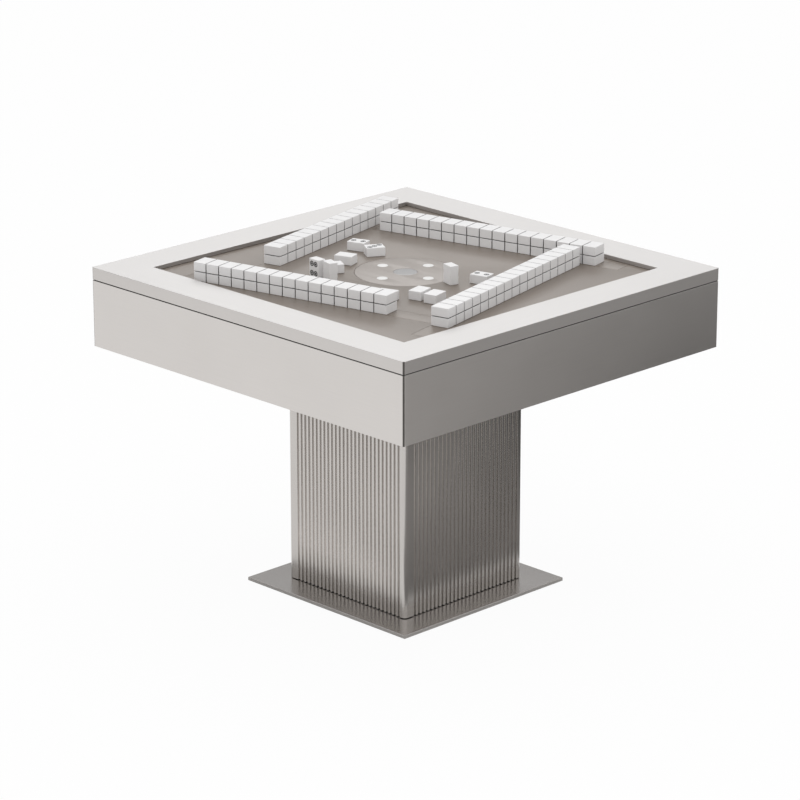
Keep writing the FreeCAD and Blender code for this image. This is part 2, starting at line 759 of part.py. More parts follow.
def tile_row(side, angle):
    """As many stacks of two tiles as fit in one row's length, side by side along a tray."""
    pitch = size("tile_width") + size("tile_gap")
    layer = size("tile_thickness") + size("seat_gap")
    start = -well_half * size(f"{side}_row_start_share")
    copies = []
    for stack in range(int(well_half * size(ROWS[side]) / pitch)):
        for storey in range(2):
            spot = FreeCAD.Vector(start + pitch * (stack + 0.5), -row_line,
                                  cloth_level - size("tile_thickness") / 2 + layer * (storey + 1))
            copies.append(tile_copy(FreeCAD.Placement(spot, FreeCAD.Rotation())))
    wall = doc.addObject("Part::Feature", f"tile_row_{side}")
    wall.Shape = Part.makeCompound(copies)
    wall.Placement = FreeCAD.Placement(FreeCAD.Vector(), FreeCAD.Rotation(UP, angle))
    return wall


for step, side in enumerate(SIDES):
    part(f"tile_wall_{side}", tile_row(side, QUARTER * step + SKEW))

STANCES = {"flat": FreeCAD.Rotation(), "upright": FreeCAD.Rotation(FreeCAD.Vector(1, 0, 0), QUARTER)}
STANDING_HEIGHTS = {"flat": size("tile_thickness"), "upright": size("tile_length")}
loose = doc.addObject("Part::Feature", "loose_tiles_set")
loose_copies = []
for x_share, y_share, heading, stance in LOOSE_TILE_SHARES:
    spot = FreeCAD.Vector(x_share * size("top_size") / 2, y_share * size("top_size") / 2,
                          cloth_level + size("seat_gap") + STANDING_HEIGHTS[stance] / 2)
    loose_copies.append(tile_copy(FreeCAD.Placement(spot, FreeCAD.Rotation(UP, heading) * STANCES[stance])))
loose.Shape = Part.makeCompound(loose_copies)
part("loose_tiles", loose)

# Console: a round glass plate on a shallow housing, with a lens and four buttons over a switch board
GLASS_BOTTOM = f"({CLOTH_TOP} - glass_thickness)"
COLLAR_TOP = f"({GLASS_BOTTOM} - seat_gap)"
COLLAR_BOTTOM = f"({COLLAR_TOP} - collar_thickness)"
PLUNGER_BOTTOM = f"({COLLAR_BOTTOM} - plunger_length)"
SWITCH_TOP = f"({PLUNGER_BOTTOM} - button_travel - seat_gap)"
SWITCH_BOARD_TOP = f"({SWITCH_TOP} - switch_height)"
SWITCH_BOARD_BOTTOM = f"({SWITCH_BOARD_TOP} - console_board_thickness)"
TUB_FLOOR = f"({SWITCH_BOARD_BOTTOM} - standoff_height)"
TUB_BOTTOM = f"({TUB_FLOOR} - housing_floor)"
TUB_RADIUS = "(console_radius - housing_inset)"
BOARD_RADIUS = f"({TUB_RADIUS} - housing_wall - console_board_inset)"
THROUGH_GLASS = (f"{GLASS_BOTTOM} - overrun", f"{CLOTH_TOP} + overrun")

glass_blank = rod("glass_blank", "console_radius", (GLASS_BOTTOM, CLOTH_TOP))
lens_hole = rod("lens_hole", "lens_radius + lens_gap", THROUGH_GLASS)


def button_hole(name):
    return rod(f"{name}_hole", "button_radius + button_gap", THROUGH_GLASS, "0", "-button_orbit")


part("console_glass", cut("glass_cut", glass_blank, lens_hole, around("button_holes", button_hole)))

tub = cut("tub", rod("tub_blank", TUB_RADIUS, (TUB_BOTTOM, GLASS_BOTTOM)),
          rod("tub_hollow", f"{TUB_RADIUS} - housing_wall", (TUB_FLOOR, f"{GLASS_BOTTOM} + overrun")))


def standoff(name):
    along = f"({BOARD_RADIUS} - 2 * standoff_radius) / sqrt(2)"
    return rod(f"{name}_post", "standoff_radius", (TUB_FLOOR, SWITCH_BOARD_BOTTOM), along, along)


part("console_housing", fuse("tub_with_posts", tub, around("standoffs", standoff)))

switch_board = rod("switch_board", BOARD_RADIUS, (SWITCH_BOARD_BOTTOM, SWITCH_BOARD_TOP))
display = rod("display", "lens_radius - display_inset", (SWITCH_BOARD_TOP, GLASS_BOTTOM))


def switch(name):
    return block(f"{name}_body", ("-switch_size / 2", "switch_size / 2"),
                 ("-button_orbit - switch_size / 2", "-button_orbit + switch_size / 2"),
                 (SWITCH_BOARD_TOP, SWITCH_TOP))


part("console_board", fuse("console_board_joined", switch_board, display, around("switches", switch)))
part("console_lens", rod("lens_disc", "lens_radius", (GLASS_BOTTOM, CLOTH_TOP)))


def button(name):
    spot = ("0", "-button_orbit")
    cap = rod(f"{name}_cap", "button_radius", (COLLAR_BOTTOM, f"{CLOTH_TOP} + button_proud"), *spot)
    collar = rod(f"{name}_collar", "button_radius + collar_width", (COLLAR_BOTTOM, COLLAR_TOP), *spot)
    plunger = rod(f"{name}_plunger", "plunger_radius", (PLUNGER_BOTTOM, COLLAR_BOTTOM), *spot)
    return fuse(f"{name}_joined", cap, collar, plunger)


for step, side in enumerate(SIDES):
    part(f"button_{side}", group(f"button_{side}_turned", [button(f"button_{side}")], QUARTER * step))

# Console lift: the console stands on a stem that slides in an upright tube with its drive inside
TUBE_TOP = f"({TUB_BOTTOM} - tube_clearance)"
TUBE_RADIUS = "(stem_radius + tube_wall)"
STEM_BOTTOM = f"({TUBE_TOP} - console_rise - stem_engagement)"
DISC_TOP = f"({PAN_TOP} + disc_level)"
DISC_BOTTOM = f"({DISC_TOP} - disc_thickness)"
HUB_BOTTOM = f"({DISC_BOTTOM} - hub_height)"
part("console_stem", rod("stem_rod", "stem_radius", (STEM_BOTTOM, TUB_BOTTOM)))
part("console_actuator", cut(
    "tube_bored",
    fuse("tube_joined", rod("tube", TUBE_RADIUS, (PAN_TOP, TUBE_TOP)),
         rod("tube_flange", "tube_flange_radius", (PAN_TOP, f"{PAN_TOP} + tube_flange_thickness")),
         rod("tube_shoulder", f"{TUBE_RADIUS} + shoulder_width", (PAN_TOP, f"{HUB_BOTTOM} - seat_gap"))),
    rod("tube_bore", "stem_radius + running_fit", (f"{PAN_TOP} - overrun", f"{TUBE_TOP} + overrun"))))

# Shuffling drum: a turning disc with paddles, on a hub round the console tube, inside a fixed bowl
HUB_RADIUS = f"({TUBE_RADIUS} + running_fit + hub_wall)"
WHEEL_LINE = f"({TRAY_INNER} - wheel_clearance - wheel_radius)"
DISC_RADIUS = f"({WHEEL_LINE} - wheel_radius - disc_clearance)"


def paddle(name):
    return block(f"{name}_bar", (f"{HUB_RADIUS} + paddle_inset", f"{DISC_RADIUS} - paddle_width"),
                 ("-paddle_width / 2", "paddle_width / 2"), (DISC_TOP, f"{DISC_TOP} + paddle_height"))


part("shuffle_disc", cut(
    "disc_bored",
    fuse("disc_joined", rod("disc", DISC_RADIUS, (DISC_BOTTOM, DISC_TOP)),
         rod("hub", HUB_RADIUS, (HUB_BOTTOM, DISC_BOTTOM)), around("paddles", paddle)),
    rod("hub_bore", f"{TUBE_RADIUS} + running_fit", (f"{HUB_BOTTOM} - overrun", f"{DISC_TOP} + overrun"))))

BOWL_RADIUS = f"({DISC_RADIUS} + bowl_gap)"
BOWL_TOP = f"({RAIL_BOTTOM} - bowl_clearance)"
BOWL_BOTTOM = f"({DISC_BOTTOM} - bowl_skirt)"
WHEEL_LEVEL = f"({DISC_TOP} + wheel_radius - seat_gap)"


def bowl_leg(name):
    reach = f"({BOWL_RADIUS} + bowl_wall / 2)"
    leg = doc.addObject("Part::Box", f"{name}_bar")
    leg.Placement = FreeCAD.Placement(FreeCAD.Vector(), FreeCAD.Rotation(UP, QUARTER / 2))
    bind(leg, Length="leg_size", Width="leg_size", Height=f"{BOWL_TOP} - {PAN_TOP}")
    place(leg, f"({reach} + leg_size / 2) / sqrt(2)", f"({reach} - leg_size / 2) / sqrt(2)", PAN_TOP)
    return leg


def bowl_port(name):
    """An opening in the bowl for a pickup wheel."""
    return block(f"{name}_opening", ("-port_width / 2", "port_width / 2"),
                 (f"-{BOWL_RADIUS} - bowl_wall - overrun", f"-{BOWL_RADIUS} / 2"),
                 (DISC_TOP, f"{DISC_TOP} + port_height"))


bowl_ring = rod("bowl_ring", f"{BOWL_RADIUS} + bowl_wall", (BOWL_BOTTOM, BOWL_TOP))
bowl_inside = rod("bowl_inside", BOWL_RADIUS, (f"{BOWL_BOTTOM} - overrun", f"{BOWL_TOP} + overrun"))
part("shuffle_bowl", cut("bowl_cut", fuse("bowl_joined", bowl_ring, around("bowl_legs", bowl_leg, SKEW)),
                         bowl_inside, around("bowl_ports", bowl_port, SKEW)))

# Drum drive: a motor on the pan turns the hub through a flat belt
BELT_BOTTOM = f"({HUB_BOTTOM} + belt_rise)"
BELT_TOP = f"({BELT_BOTTOM} + belt_width)"
PULLEY_BOTTOM = f"({BELT_BOTTOM} - seat_gap - pulley_flange_thickness)"
PULLEY_TOP = f"({BELT_TOP} + seat_gap + pulley_flange_thickness)"
MOTOR_TOP = f"({PULLEY_BOTTOM} - seat_gap)"
SHAFT_BOTTOM = f"({MOTOR_TOP} - drive_shaft_seat)"
part("drive_motor", cut(
    "drive_motor_bored",
    rod("drive_motor_body", "drive_motor_radius", (PAN_TOP, MOTOR_TOP), "pulley_distance"),
    rod("drive_motor_bore", "drive_shaft_radius + running_fit",
        (f"{SHAFT_BOTTOM} - seat_gap", f"{MOTOR_TOP} + overrun"), "pulley_distance")))
part("drive_pulley", fuse(
    "pulley_joined",
    rod("pulley_drum", "pulley_radius", (PULLEY_BOTTOM, PULLEY_TOP), "pulley_distance"),
    rod("pulley_lower_flange", "pulley_radius + pulley_flange",
        (PULLEY_BOTTOM, f"{PULLEY_BOTTOM} + pulley_flange_thickness"), "pulley_distance"),
    rod("pulley_upper_flange", "pulley_radius + pulley_flange",
        (f"{PULLEY_TOP} - pulley_flange_thickness", PULLEY_TOP), "pulley_distance"),
    rod("pulley_shaft", "drive_shaft_radius", (SHAFT_BOTTOM, PULLEY_BOTTOM), "pulley_distance")))


def belt_outline(large, small, distance):
    """A face bounded by two arcs and their outer tangents."""
    lean = math.acos((large - small) / distance)
    across, beside = math.cos(lean), math.sin(lean)
    starts = [FreeCAD.Vector(large * across, sign * large * beside, 0) for sign in (1, -1)]
    ends = [FreeCAD.Vector(distance + small * across, sign * small * beside, 0) for sign in (1, -1)]
    wire = Part.Wire([
        Part.LineSegment(starts[0], ends[0]).toShape(),
        Part.Arc(ends[0], FreeCAD.Vector(distance + small, 0, 0), ends[1]).toShape(),
        Part.LineSegment(ends[1], starts[1]).toShape(),
        Part.Arc(starts[1], FreeCAD.Vector(-large, 0, 0), starts[0]).toShape(),
    ])
    return Part.Face(wire)


tube_reach = size("stem_radius") + size("tube_wall") + size("running_fit")
hub_reach = tube_reach + size("hub_wall") + size("seat_gap")
pulley_reach = size("pulley_radius") + size("seat_gap")
belt_inside = belt_outline(hub_reach, pulley_reach, size("pulley_distance"))
belt_outside = belt_outline(hub_reach + size("belt_thickness"), pulley_reach + size("belt_thickness"),
                            size("pulley_distance"))
belt = doc.addObject("Part::Feature", "drive_belt_loop")
belt.Shape = belt_outside.cut(belt_inside).extrude(UP * size("belt_width"))
place(belt, z=BELT_BOTTOM)
part("drive_belt", belt)

# Tile pickups: at each side a wheel on a level axle lifts tiles from the disc to a chute beside the tray
WHEEL_REACH = "(wheel_width / 2)"
WHEEL_PLACE = (f"-{WHEEL_LINE}", WHEEL_LEVEL)
CHUTE_LEVEL = f"({CLOTH_TOP} - lift_travel)"


def pickup_wheel(name):
    blank = axle(f"{name}_blank", "wheel_radius", (f"-{WHEEL_REACH}", WHEEL_REACH), *WHEEL_PLACE)
    recesses = []
    for end, x in (("near", (f"-{WHEEL_REACH} - overrun", "-wheel_web / 2")),
                   ("far", ("wheel_web / 2", f"{WHEEL_REACH} + overrun"))):
        hollow = axle(f"{name}_{end}_hollow", "wheel_radius - wheel_rim", x, *WHEEL_PLACE)
        boss = axle(f"{name}_{end}_boss", "wheel_hub_radius", x, *WHEEL_PLACE)
        recesses.append(cut(f"{name}_{end}_recess", hollow, boss))
    bore = axle(f"{name}_bore", "axle_radius + running_fit",
                (f"-{WHEEL_REACH} - overrun", f"{WHEEL_REACH} + overrun"), *WHEEL_PLACE)
    return cut(f"{name}_cut", blank, bore, *recesses)


for step, side in enumerate(SIDES):
    angle = QUARTER * step + SKEW
    wheel = pickup_wheel(f"pickup_{side}")
    part(f"pickup_wheel_{side}", group(f"pickup_wheel_{side}_turned", [wheel], angle))


def pickup_bracket(name):
    """An upright plate with the wheel's axle on one side and its motor on the other."""
    face = f"(-{WHEEL_REACH} - wheel_side_gap)"
    back = f"({face} - bracket_thickness)"
    upright = block(f"{name}_plate", (back, face),
                    (f"-{WHEEL_LINE} - bracket_width / 2", f"-{WHEEL_LINE} + bracket_width / 2"),
                    (PAN_TOP, f"{WHEEL_LEVEL} + bracket_cover"))
    pin = axle(f"{name}_pin", "axle_radius", (back, WHEEL_REACH), *WHEEL_PLACE)
    motor = axle(f"{name}_motor", "pickup_motor_radius", (f"{back} - pickup_motor_length", back),
                 *WHEEL_PLACE)
    return fuse(f"{name}_joined", upright, pin, motor)


part("pickup_brackets", around("pickup_brackets_set", pickup_bracket, SKEW))


def tile_chute(name):
    """A shelf with a back wall, on two legs, along the inner side of a lowered tray."""
    start = f"({WHEEL_REACH} + wheel_side_gap + chute_gap)"
    end = f"({TRAY_INNER} - chute_end_gap)"
    outer = f"({TRAY_INNER} - chute_gap)"
    inner = f"({outer} - tile_length - chute_wall)"
    shelf = block(f"{name}_shelf", (start, end), (f"-{outer}", f"-{inner}"),
                  (f"{CHUTE_LEVEL} - chute_floor", CHUTE_LEVEL))
    wall = block(f"{name}_wall", (start, end), (f"-{inner} - chute_wall", f"-{inner}"),
                 (f"{CHUTE_LEVEL} - chute_floor", f"{CHUTE_LEVEL} + chute_wall_height"))
    feet = {"first": (start, f"{start} + chute_leg"), "second": (f"{end} - chute_leg", end)}
    legs = [block(f"{name}_{which}_leg", x, (f"-{outer}", f"-{outer} + chute_leg"), (PAN_TOP, CHUTE_LEVEL))
            for which, x in feet.items()]
    return fuse(f"{name}_joined", shelf, wall, *legs)


part("tile_chutes", around("tile_chutes_set", tile_chute, SKEW))


# Electrics: control board and power supply on the pan, mains inlet through it
CONTROL_TOP = f"({PAN_TOP} + control_standoff + control_thickness)"
CONTROL_BOTTOM = f"({PAN_TOP} + control_standoff)"
control_plate = block("control_plate", spread(ELECTRICS_PLACE, "control_length"),
                      spread(ELECTRICS_PLACE, "control_width"), (CONTROL_BOTTOM, CONTROL_TOP))
control_items = []
for column, x_sign in enumerate((-1, 1)):
    for line, y_sign in enumerate((-1, 1)):
        x = f"({ELECTRICS_PLACE} + {x_sign} * (control_length / 2 - relay_size))"
        y = f"({ELECTRICS_PLACE} + {y_sign} * (control_width / 2 - relay_size))"
        control_items.append(rod(f"control_post_{column}_{line}", "standoff_radius",
                                 (PAN_TOP, CONTROL_BOTTOM), x, y))
        control_items.append(block(f"control_relay_{column}_{line}", spread(x, "relay_size"),
                                   spread(y, "relay_size"), (CONTROL_TOP, f"{CONTROL_TOP} + relay_height")))
control_items.append(block("control_heat_sink", spread(ELECTRICS_PLACE, "heat_sink_length"),
                           spread(ELECTRICS_PLACE, "relay_size"),
                           (CONTROL_TOP, f"{CONTROL_TOP} + heat_sink_height")))
part("control_board", fuse("control_joined", control_plate, *control_items))

part("power_supply", block("supply_case", spread(f"-{ELECTRICS_PLACE}", "supply_length"),
                           spread(ELECTRICS_PLACE, "supply_width"),
                           (PAN_TOP, f"{PAN_TOP} + supply_height")))

INLET_FACE = f"({BODY_BOTTOM} - inlet_rim_thickness)"
part("power_inlet", cut(
    "inlet_cut",
    fuse("inlet_joined",
         block("inlet_body", spread(INLET_X, "inlet_length"), spread(INLET_Y, "inlet_width"),
               (INLET_FACE, f"{INLET_FACE} + inlet_depth")),
         block("inlet_flange", spread(INLET_X, "(inlet_length + 2 * inlet_rim)"),
               spread(INLET_Y, "(inlet_width + 2 * inlet_rim)"), (INLET_FACE, BODY_BOTTOM))),
    block("inlet_socket", spread(INLET_X, "inlet_socket_length"), spread(INLET_Y, "inlet_socket_width"),
          (f"{INLET_FACE} - overrun", f"{INLET_FACE} + inlet_socket_depth"))))

# Every object and shape is checked before anything is written
doc.recompute()
for thing in doc.Objects:
    if any(state in ("Invalid", "Error") for state in thing.State):
        raise RuntimeError(f"{thing.Label} failed: {thing.State}")
os.makedirs("parts", exist_ok=True)
for thing in parts:
    shape = thing.Shape
    if shape.isNull() or not shape.isValid() or not shape.Solids:
        raise RuntimeError(f"{thing.Label} has no valid solid")
for thing in parts:
    thing.Shape.exportStep(f"parts/{thing.Label}.step")
print(f"{len(parts)} sub-parts, {sum(len(thing.Shape.Solids) for thing in parts)} solids")
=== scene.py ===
"""Looks of the automatic mahjong table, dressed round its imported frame. Metres, +Z up, front at -Y."""
import math

import bmesh
import bpy
from mathutils import Matrix, Vector


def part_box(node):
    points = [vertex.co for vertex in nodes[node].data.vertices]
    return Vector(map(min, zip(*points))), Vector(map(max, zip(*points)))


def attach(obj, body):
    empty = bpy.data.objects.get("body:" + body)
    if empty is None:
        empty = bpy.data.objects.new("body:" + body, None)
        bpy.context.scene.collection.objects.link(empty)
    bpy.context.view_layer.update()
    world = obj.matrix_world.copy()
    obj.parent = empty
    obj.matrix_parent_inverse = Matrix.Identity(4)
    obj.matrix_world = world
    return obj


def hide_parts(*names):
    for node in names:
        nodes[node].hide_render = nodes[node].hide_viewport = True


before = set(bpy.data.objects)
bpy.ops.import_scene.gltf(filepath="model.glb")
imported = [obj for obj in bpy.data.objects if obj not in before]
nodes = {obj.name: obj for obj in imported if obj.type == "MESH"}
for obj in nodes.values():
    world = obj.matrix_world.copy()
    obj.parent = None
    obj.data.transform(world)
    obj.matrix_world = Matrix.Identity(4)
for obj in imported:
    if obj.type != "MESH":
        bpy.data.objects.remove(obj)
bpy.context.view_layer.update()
SIDES = ("front", "right", "back", "left")


# Base plate: a square of satin stainless steel lying on four rubber pads, screwed up into the column.
# It is ground smooth enough to mirror the foot of the column.
class Value:
    """A socket among a material's nodes. Arithmetic on it adds Math nodes."""

    def __init__(self, tree, socket=None):
        self.tree = tree
        self.socket = socket

    def node(self, kind, settings, inputs, output=0):
        """Adds a node of any kind: its settings first, then the values or links of its sockets."""
        made = self.tree.nodes.new(kind)
        for name, setting in settings.items():
            setattr(made, name, setting)
        for name, value in inputs.items():
            if isinstance(value, Value):
                self.tree.links.new(value.socket, made.inputs[name])
            else:
                made.inputs[name].default_value = value
        return Value(self.tree, made.outputs[output])

    def outputs(self):
        """Every output of the node that this value comes from, by name."""
        return {socket.name: Value(self.tree, socket) for socket in self.socket.node.outputs}

    def math(self, operation, *values):
        return self.node("ShaderNodeMath", {"operation": operation}, dict(enumerate(values)))

    def __add__(self, other):
        return self.math("ADD", self, other)

    def __sub__(self, other):
        return self.math("SUBTRACT", self, other)

    def __rsub__(self, other):
        return self.math("SUBTRACT", other, self)

    def __mul__(self, other):
        return self.math("MULTIPLY", self, other)

    def __lt__(self, other):
        return self.math("LESS_THAN", self, other)

    def __gt__(self, other):
        return self.math("GREATER_THAN", self, other)

    def __abs__(self):
        return self.math("ABSOLUTE", self)

    __radd__ = __add__
    __rmul__ = __mul__

    def larger(self, other):
        return self.math("MAXIMUM", self, other)

    def smaller(self, other):
        return self.math("MINIMUM", self, other)

    def waved(self):
        return self.math("SINE", self)

    def mixed(self, low, high):
        """A colour between two, by this value."""
        return self.node("ShaderNodeMix", {"data_type": "RGBA"}, {0: self, 6: low, 7: high}, 2)

    def noise(self, scale, stretch=(1, 1, 1), detail=3.0):
        """Noise on these coordinates, drawn out along the axes where the stretch is small."""
        place = self.node("ShaderNodeMapping", {}, {"Vector": self, "Scale": stretch})
        return self.node("ShaderNodeTexNoise", {}, {"Vector": place, "Scale": scale, "Detail": detail})

    def axes(self):
        """The three parts of a vector."""
        return list(self.node("ShaderNodeSeparateXYZ", {}, {0: self}).outputs().values())


def new_finish(name, **constants):
    """A material whose even sockets are set, and the object coordinates that its pattern is drawn on."""
    material = bpy.data.materials.new(name)
    material.use_nodes = True
    shader = material.node_tree.nodes["Principled BSDF"]
    for socket, value in constants.items():
        shader.inputs[socket.replace("_", " ")].default_value = value
    coordinates = material.node_tree.nodes.new("ShaderNodeTexCoord")
    return material, Value(material.node_tree, coordinates.outputs["Object"])


def lay_on(material, **values):
    """Feeds what varies over a surface into its shader."""
    shader = material.node_tree.nodes["Principled BSDF"]
    for socket, value in values.items():
        material.node_tree.links.new(value.socket, shader.inputs[socket.replace("_", " ")])


def bumped(height, strength, depth):
    """A surface normal from a height value."""
    return height.node("ShaderNodeBump", {}, {"Height": height, "Strength": strength, "Distance": depth})


def dress(material, *names):
    """Puts a finish on nodes of the frame."""
    for name in names:
        mesh = nodes[name].data
        if not mesh.materials:
            mesh.materials.append(material)
        for index in range(len(mesh.materials)):
            mesh.materials[index] = material


STEEL_TONES = ((0.53, 0.505, 0.485, 1), (0.63, 0.605, 0.585, 1))
ACROSS_GRAIN = 900.0
ALONG_GRAIN = 9.0
GRAIN_ALONG_X = (ALONG_GRAIN, ACROSS_GRAIN, ACROSS_GRAIN)
GRAIN_ALONG_Y = (ACROSS_GRAIN, ALONG_GRAIN, ACROSS_GRAIN)
GRAIN_UPRIGHT = (ACROSS_GRAIN, ACROSS_GRAIN, ALONG_GRAIN)
SCRATCH_RELIEF = {"strength": 0.12, "depth": 0.00002}
SCRATCH_SHARE = 0.55
SCRATCH_SPREAD = 0.07
CLOUD_SCALE = 5.0
CLOUD_SPREAD = 0.03


def brushed_steel(name, grain, roughness, tones=STEEL_TONES, patch=None):
    """Stainless steel with fine scratches along one axis: the grain is small along it and large across it.

    A patch is a mask made from the coordinates, and the two tones of the steel under it.
    """
    material, place = new_finish(name, Metallic=1.0)
    scratches = place.noise(1.0, grain, 4.0)
    clouds = place.noise(CLOUD_SCALE, detail=2.0)
    tone = scratches * SCRATCH_SHARE + clouds * (1.0 - SCRATCH_SHARE)
    colour = tone.mixed(*tones)
    if patch:
        mask, patch_tones = patch
        colour = mask(place).mixed(colour, tone.mixed(*patch_tones))
    smoothest = roughness - (SCRATCH_SPREAD + CLOUD_SPREAD) / 2
    lay_on(material, Base_Color=colour, Normal=bumped(scratches, **SCRATCH_RELIEF),
           Roughness=smoothest + scratches * SCRATCH_SPREAD + clouds * CLOUD_SPREAD)
    return material


PLATE_ROUGHNESS = 0.2
PLATE_TONES = ((0.495, 0.471, 0.453, 1), (0.590, 0.566, 0.547, 1))
dress(brushed_steel("ground_plate_steel", GRAIN_ALONG_Y, PLATE_ROUGHNESS, PLATE_TONES), "base_plate")


# Base pads: black rubber discs sunk in the underside of the plate.
# They are punched from sheet, so they have a dull, slightly pitted skin.
def mottled(name, tones, cloud_scale, skin_scale, roughness, spread, relief=None, **constants):
    """A finish clouded between two tones. A finer skin varies its gloss and may stand in relief."""
    material, place = new_finish(name, **constants)
    skin = place.noise(skin_scale)
    lay_on(material, Base_Color=place.noise(cloud_scale).mixed(*tones), Roughness=roughness + skin * spread)
    if relief:
        lay_on(material, Normal=bumped(skin, **relief))
    return material


RUBBER_TONES = ((0.018, 0.018, 0.018, 1), (0.045, 0.044, 0.043, 1))
black_rubber = mottled("black_rubber", RUBBER_TONES, cloud_scale=60.0, skin_scale=700.0, roughness=0.7,
                       spread=0.2, relief={"strength": 0.3, "depth": 0.0002})
dress(black_rubber, "base_pads", "seam_gasket", "drive_belt")

# Column: a welded steel post hidden behind four reeded stainless panels and four rounded corner bars.
# The panels' grain runs up and down, and their grooves carry a painted highlight, brighter than the crests,
# that fades out into painted shade at the foot and at the head.
# The post and its bolts are powder coated.
COLUMN_ROUGHNESS = 0.24
COLUMN_TONES = ((0.44, 0.42, 0.402, 1), (0.525, 0.502, 0.482, 1))
# Painted highlight: the grooves take these paler tones than the crests.
GROOVE_HIGHLIGHT_TONES = ((0.66, 0.635, 0.613, 1), (0.76, 0.733, 0.710, 1))
CREST_DEPTH = 0.0006
GROOVE_FOOT_SHADE_HEIGHT = 0.09
GROOVE_HEAD_SHADE_HEIGHT = 0.45
column_low, column_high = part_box("fluted_panel_right")


def painted_groove_highlight(place):
    """A mask of the grooves behind the crests, where the painted highlight goes. It fades out into painted
    shade at the foot and at the head.
    """
    x, y, z = [abs(part) for part in place.axes()]
    clear_of_foot_shade = (z - column_low.z) * (1.0 / GROOVE_FOOT_SHADE_HEIGHT)
    clear_of_head_shade = (column_high.z - z) * (1.0 / GROOVE_HEAD_SHADE_HEIGHT)
    return (x.larger(y) < column_high.x - CREST_DEPTH) * clear_of_foot_shade.smaller(clear_of_head_shade)


dress(brushed_steel("column_corner_steel", GRAIN_UPRIGHT, COLUMN_ROUGHNESS, COLUMN_TONES),
      "column_corner_posts")
dress(brushed_steel("reeded_column_steel", GRAIN_UPRIGHT, COLUMN_ROUGHNESS, COLUMN_TONES,
                    (painted_groove_highlight, GROOVE_HIGHLIGHT_TONES)), *[f"fluted_panel_{side}" for side in SIDES])

COAT_TONES = ((0.10, 0.10, 0.105, 1), (0.15, 0.15, 0.155, 1))
powder_coat = mottled("grey_powder_coat", COAT_TONES, cloud_scale=14.0, skin_scale=900.0, roughness=0.42,
                      spread=0.2, relief={"strength": 0.35, "depth": 0.0002})
dress(powder_coat, "column_post", "column_bolts", "chassis_pan", "frame_posts", "pickup_brackets")

# Body: four aprons of steel-faced board, mitred, with dark strips over their corners and a dark seam above.
# The steel is brushed along each apron.
BODY_ROUGHNESS = 0.36
dress(brushed_steel("apron_steel_along_x", GRAIN_ALONG_X, BODY_ROUGHNESS), "apron_front", "apron_back")
dress(brushed_steel("apron_steel_along_y", GRAIN_ALONG_Y, BODY_ROUGHNESS), "apron_right", "apron_left")


def grained(name, tones, grain, roughness, spread, relief=None, **constants):
    """A metal whose drawn-out grain carries its tones and its gloss and may stand in relief."""
    material, place = new_finish(name, **constants)
    lines = place.noise(1.0, grain)
    lay_on(material, Base_Color=lines.mixed(*tones), Roughness=roughness + lines * spread)
    if relief:
        lay_on(material, Normal=bumped(lines, **relief))
    return material


STRIP_TONES = ((0.055, 0.050, 0.046, 1), (0.085, 0.078, 0.072, 1))
corner_metal = grained("dark_corner_metal", STRIP_TONES, GRAIN_UPRIGHT, roughness=0.34, spread=0.12,
                       Metallic=0.6)
dress(corner_metal, "corner_strips")

# Bearers and playing board: birch plywood, sawn to size and slotted for the tile lifts.
# Its plies show as thin level lines on the cut edges.
PLY_TONES = ((0.34, 0.22, 0.125, 1), (0.52, 0.38, 0.24, 1))
PLY_THICKNESS = 0.0013
PLY_LINE_SHARE = 0.35
PLY_GRAIN = (16.0, 420.0, 420.0)
PLY_RELIEF = {"strength": 0.25, "depth": 0.0003}
plywood, ply_place = new_finish("birch_plywood")
ply_height = ply_place.axes()[2]
ply_lines = (ply_height * (math.pi / PLY_THICKNESS)).waved() * 0.5 + 0.5
ply_grain = ply_place.noise(1.0, PLY_GRAIN, 5.0)
ply_tone = ply_lines * PLY_LINE_SHARE + ply_grain * (1.0 - PLY_LINE_SHARE)
lay_on(plywood, Base_Color=ply_tone.mixed(*PLY_TONES), Roughness=0.62 + ply_grain * 0.2,
       Normal=bumped(ply_grain, **PLY_RELIEF))
dress(plywood, "board_bearers", "play_board")

# Tile lifts: an upright actuator and two guide sleeves under each tray, all of plain turned metal.
# The console's own lift is a larger tube of the same kind.
TURNED_TONES = ((0.36, 0.36, 0.365, 1), (0.52, 0.52, 0.525, 1))
TURNED_RINGS = (12.0, 12.0, 1400.0)
turned_metal = grained("turned_metal", TURNED_TONES, TURNED_RINGS, roughness=0.25, spread=0.15,
                       relief={"strength": 0.15, "depth": 0.00005}, Metallic=1.0)
dress(turned_metal, "lift_actuators", "lift_guides", "console_actuator", "console_stem", "drive_motor",
      "power_supply")

# Shuffling drum: a grey moulded disc with paddles, its pulley and four pickup wheels, in a black bowl.
# The bowl, the chutes, the console's tub and the mains inlet have a fine spark-eroded skin.
DRUM_TONES = ((0.36, 0.36, 0.35, 1), (0.46, 0.46, 0.45, 1))
MOULD_TONES = ((0.014, 0.014, 0.015, 1), (0.030, 0.030, 0.032, 1))
MOULD_SKIN_SCALE = 1500.0
MOULD_WEAR_SCALE = 22.0
MOULD_RELIEF = {"strength": 0.2, "depth": 0.0001}


def moulded(name, tones):
    """Moulded plastic with a fine even skin and slightly worn patches."""
    material, place = new_finish(name)
    skin = place.noise(MOULD_SKIN_SCALE, detail=2.0)
    wear = place.noise(MOULD_WEAR_SCALE)
    lay_on(material, Base_Color=wear.mixed(*tones), Roughness=0.38 + wear * 0.12 + skin * 0.1,
           Normal=bumped(skin, **MOULD_RELIEF))
    return material


dress(moulded("grey_drum_plastic", DRUM_TONES), "shuffle_disc", "drive_pulley",
      *[f"pickup_wheel_{side}" for side in SIDES])
dress(moulded("black_moulding", MOULD_TONES), "shuffle_bowl", "tile_chutes", "console_housing",
      "power_inlet")

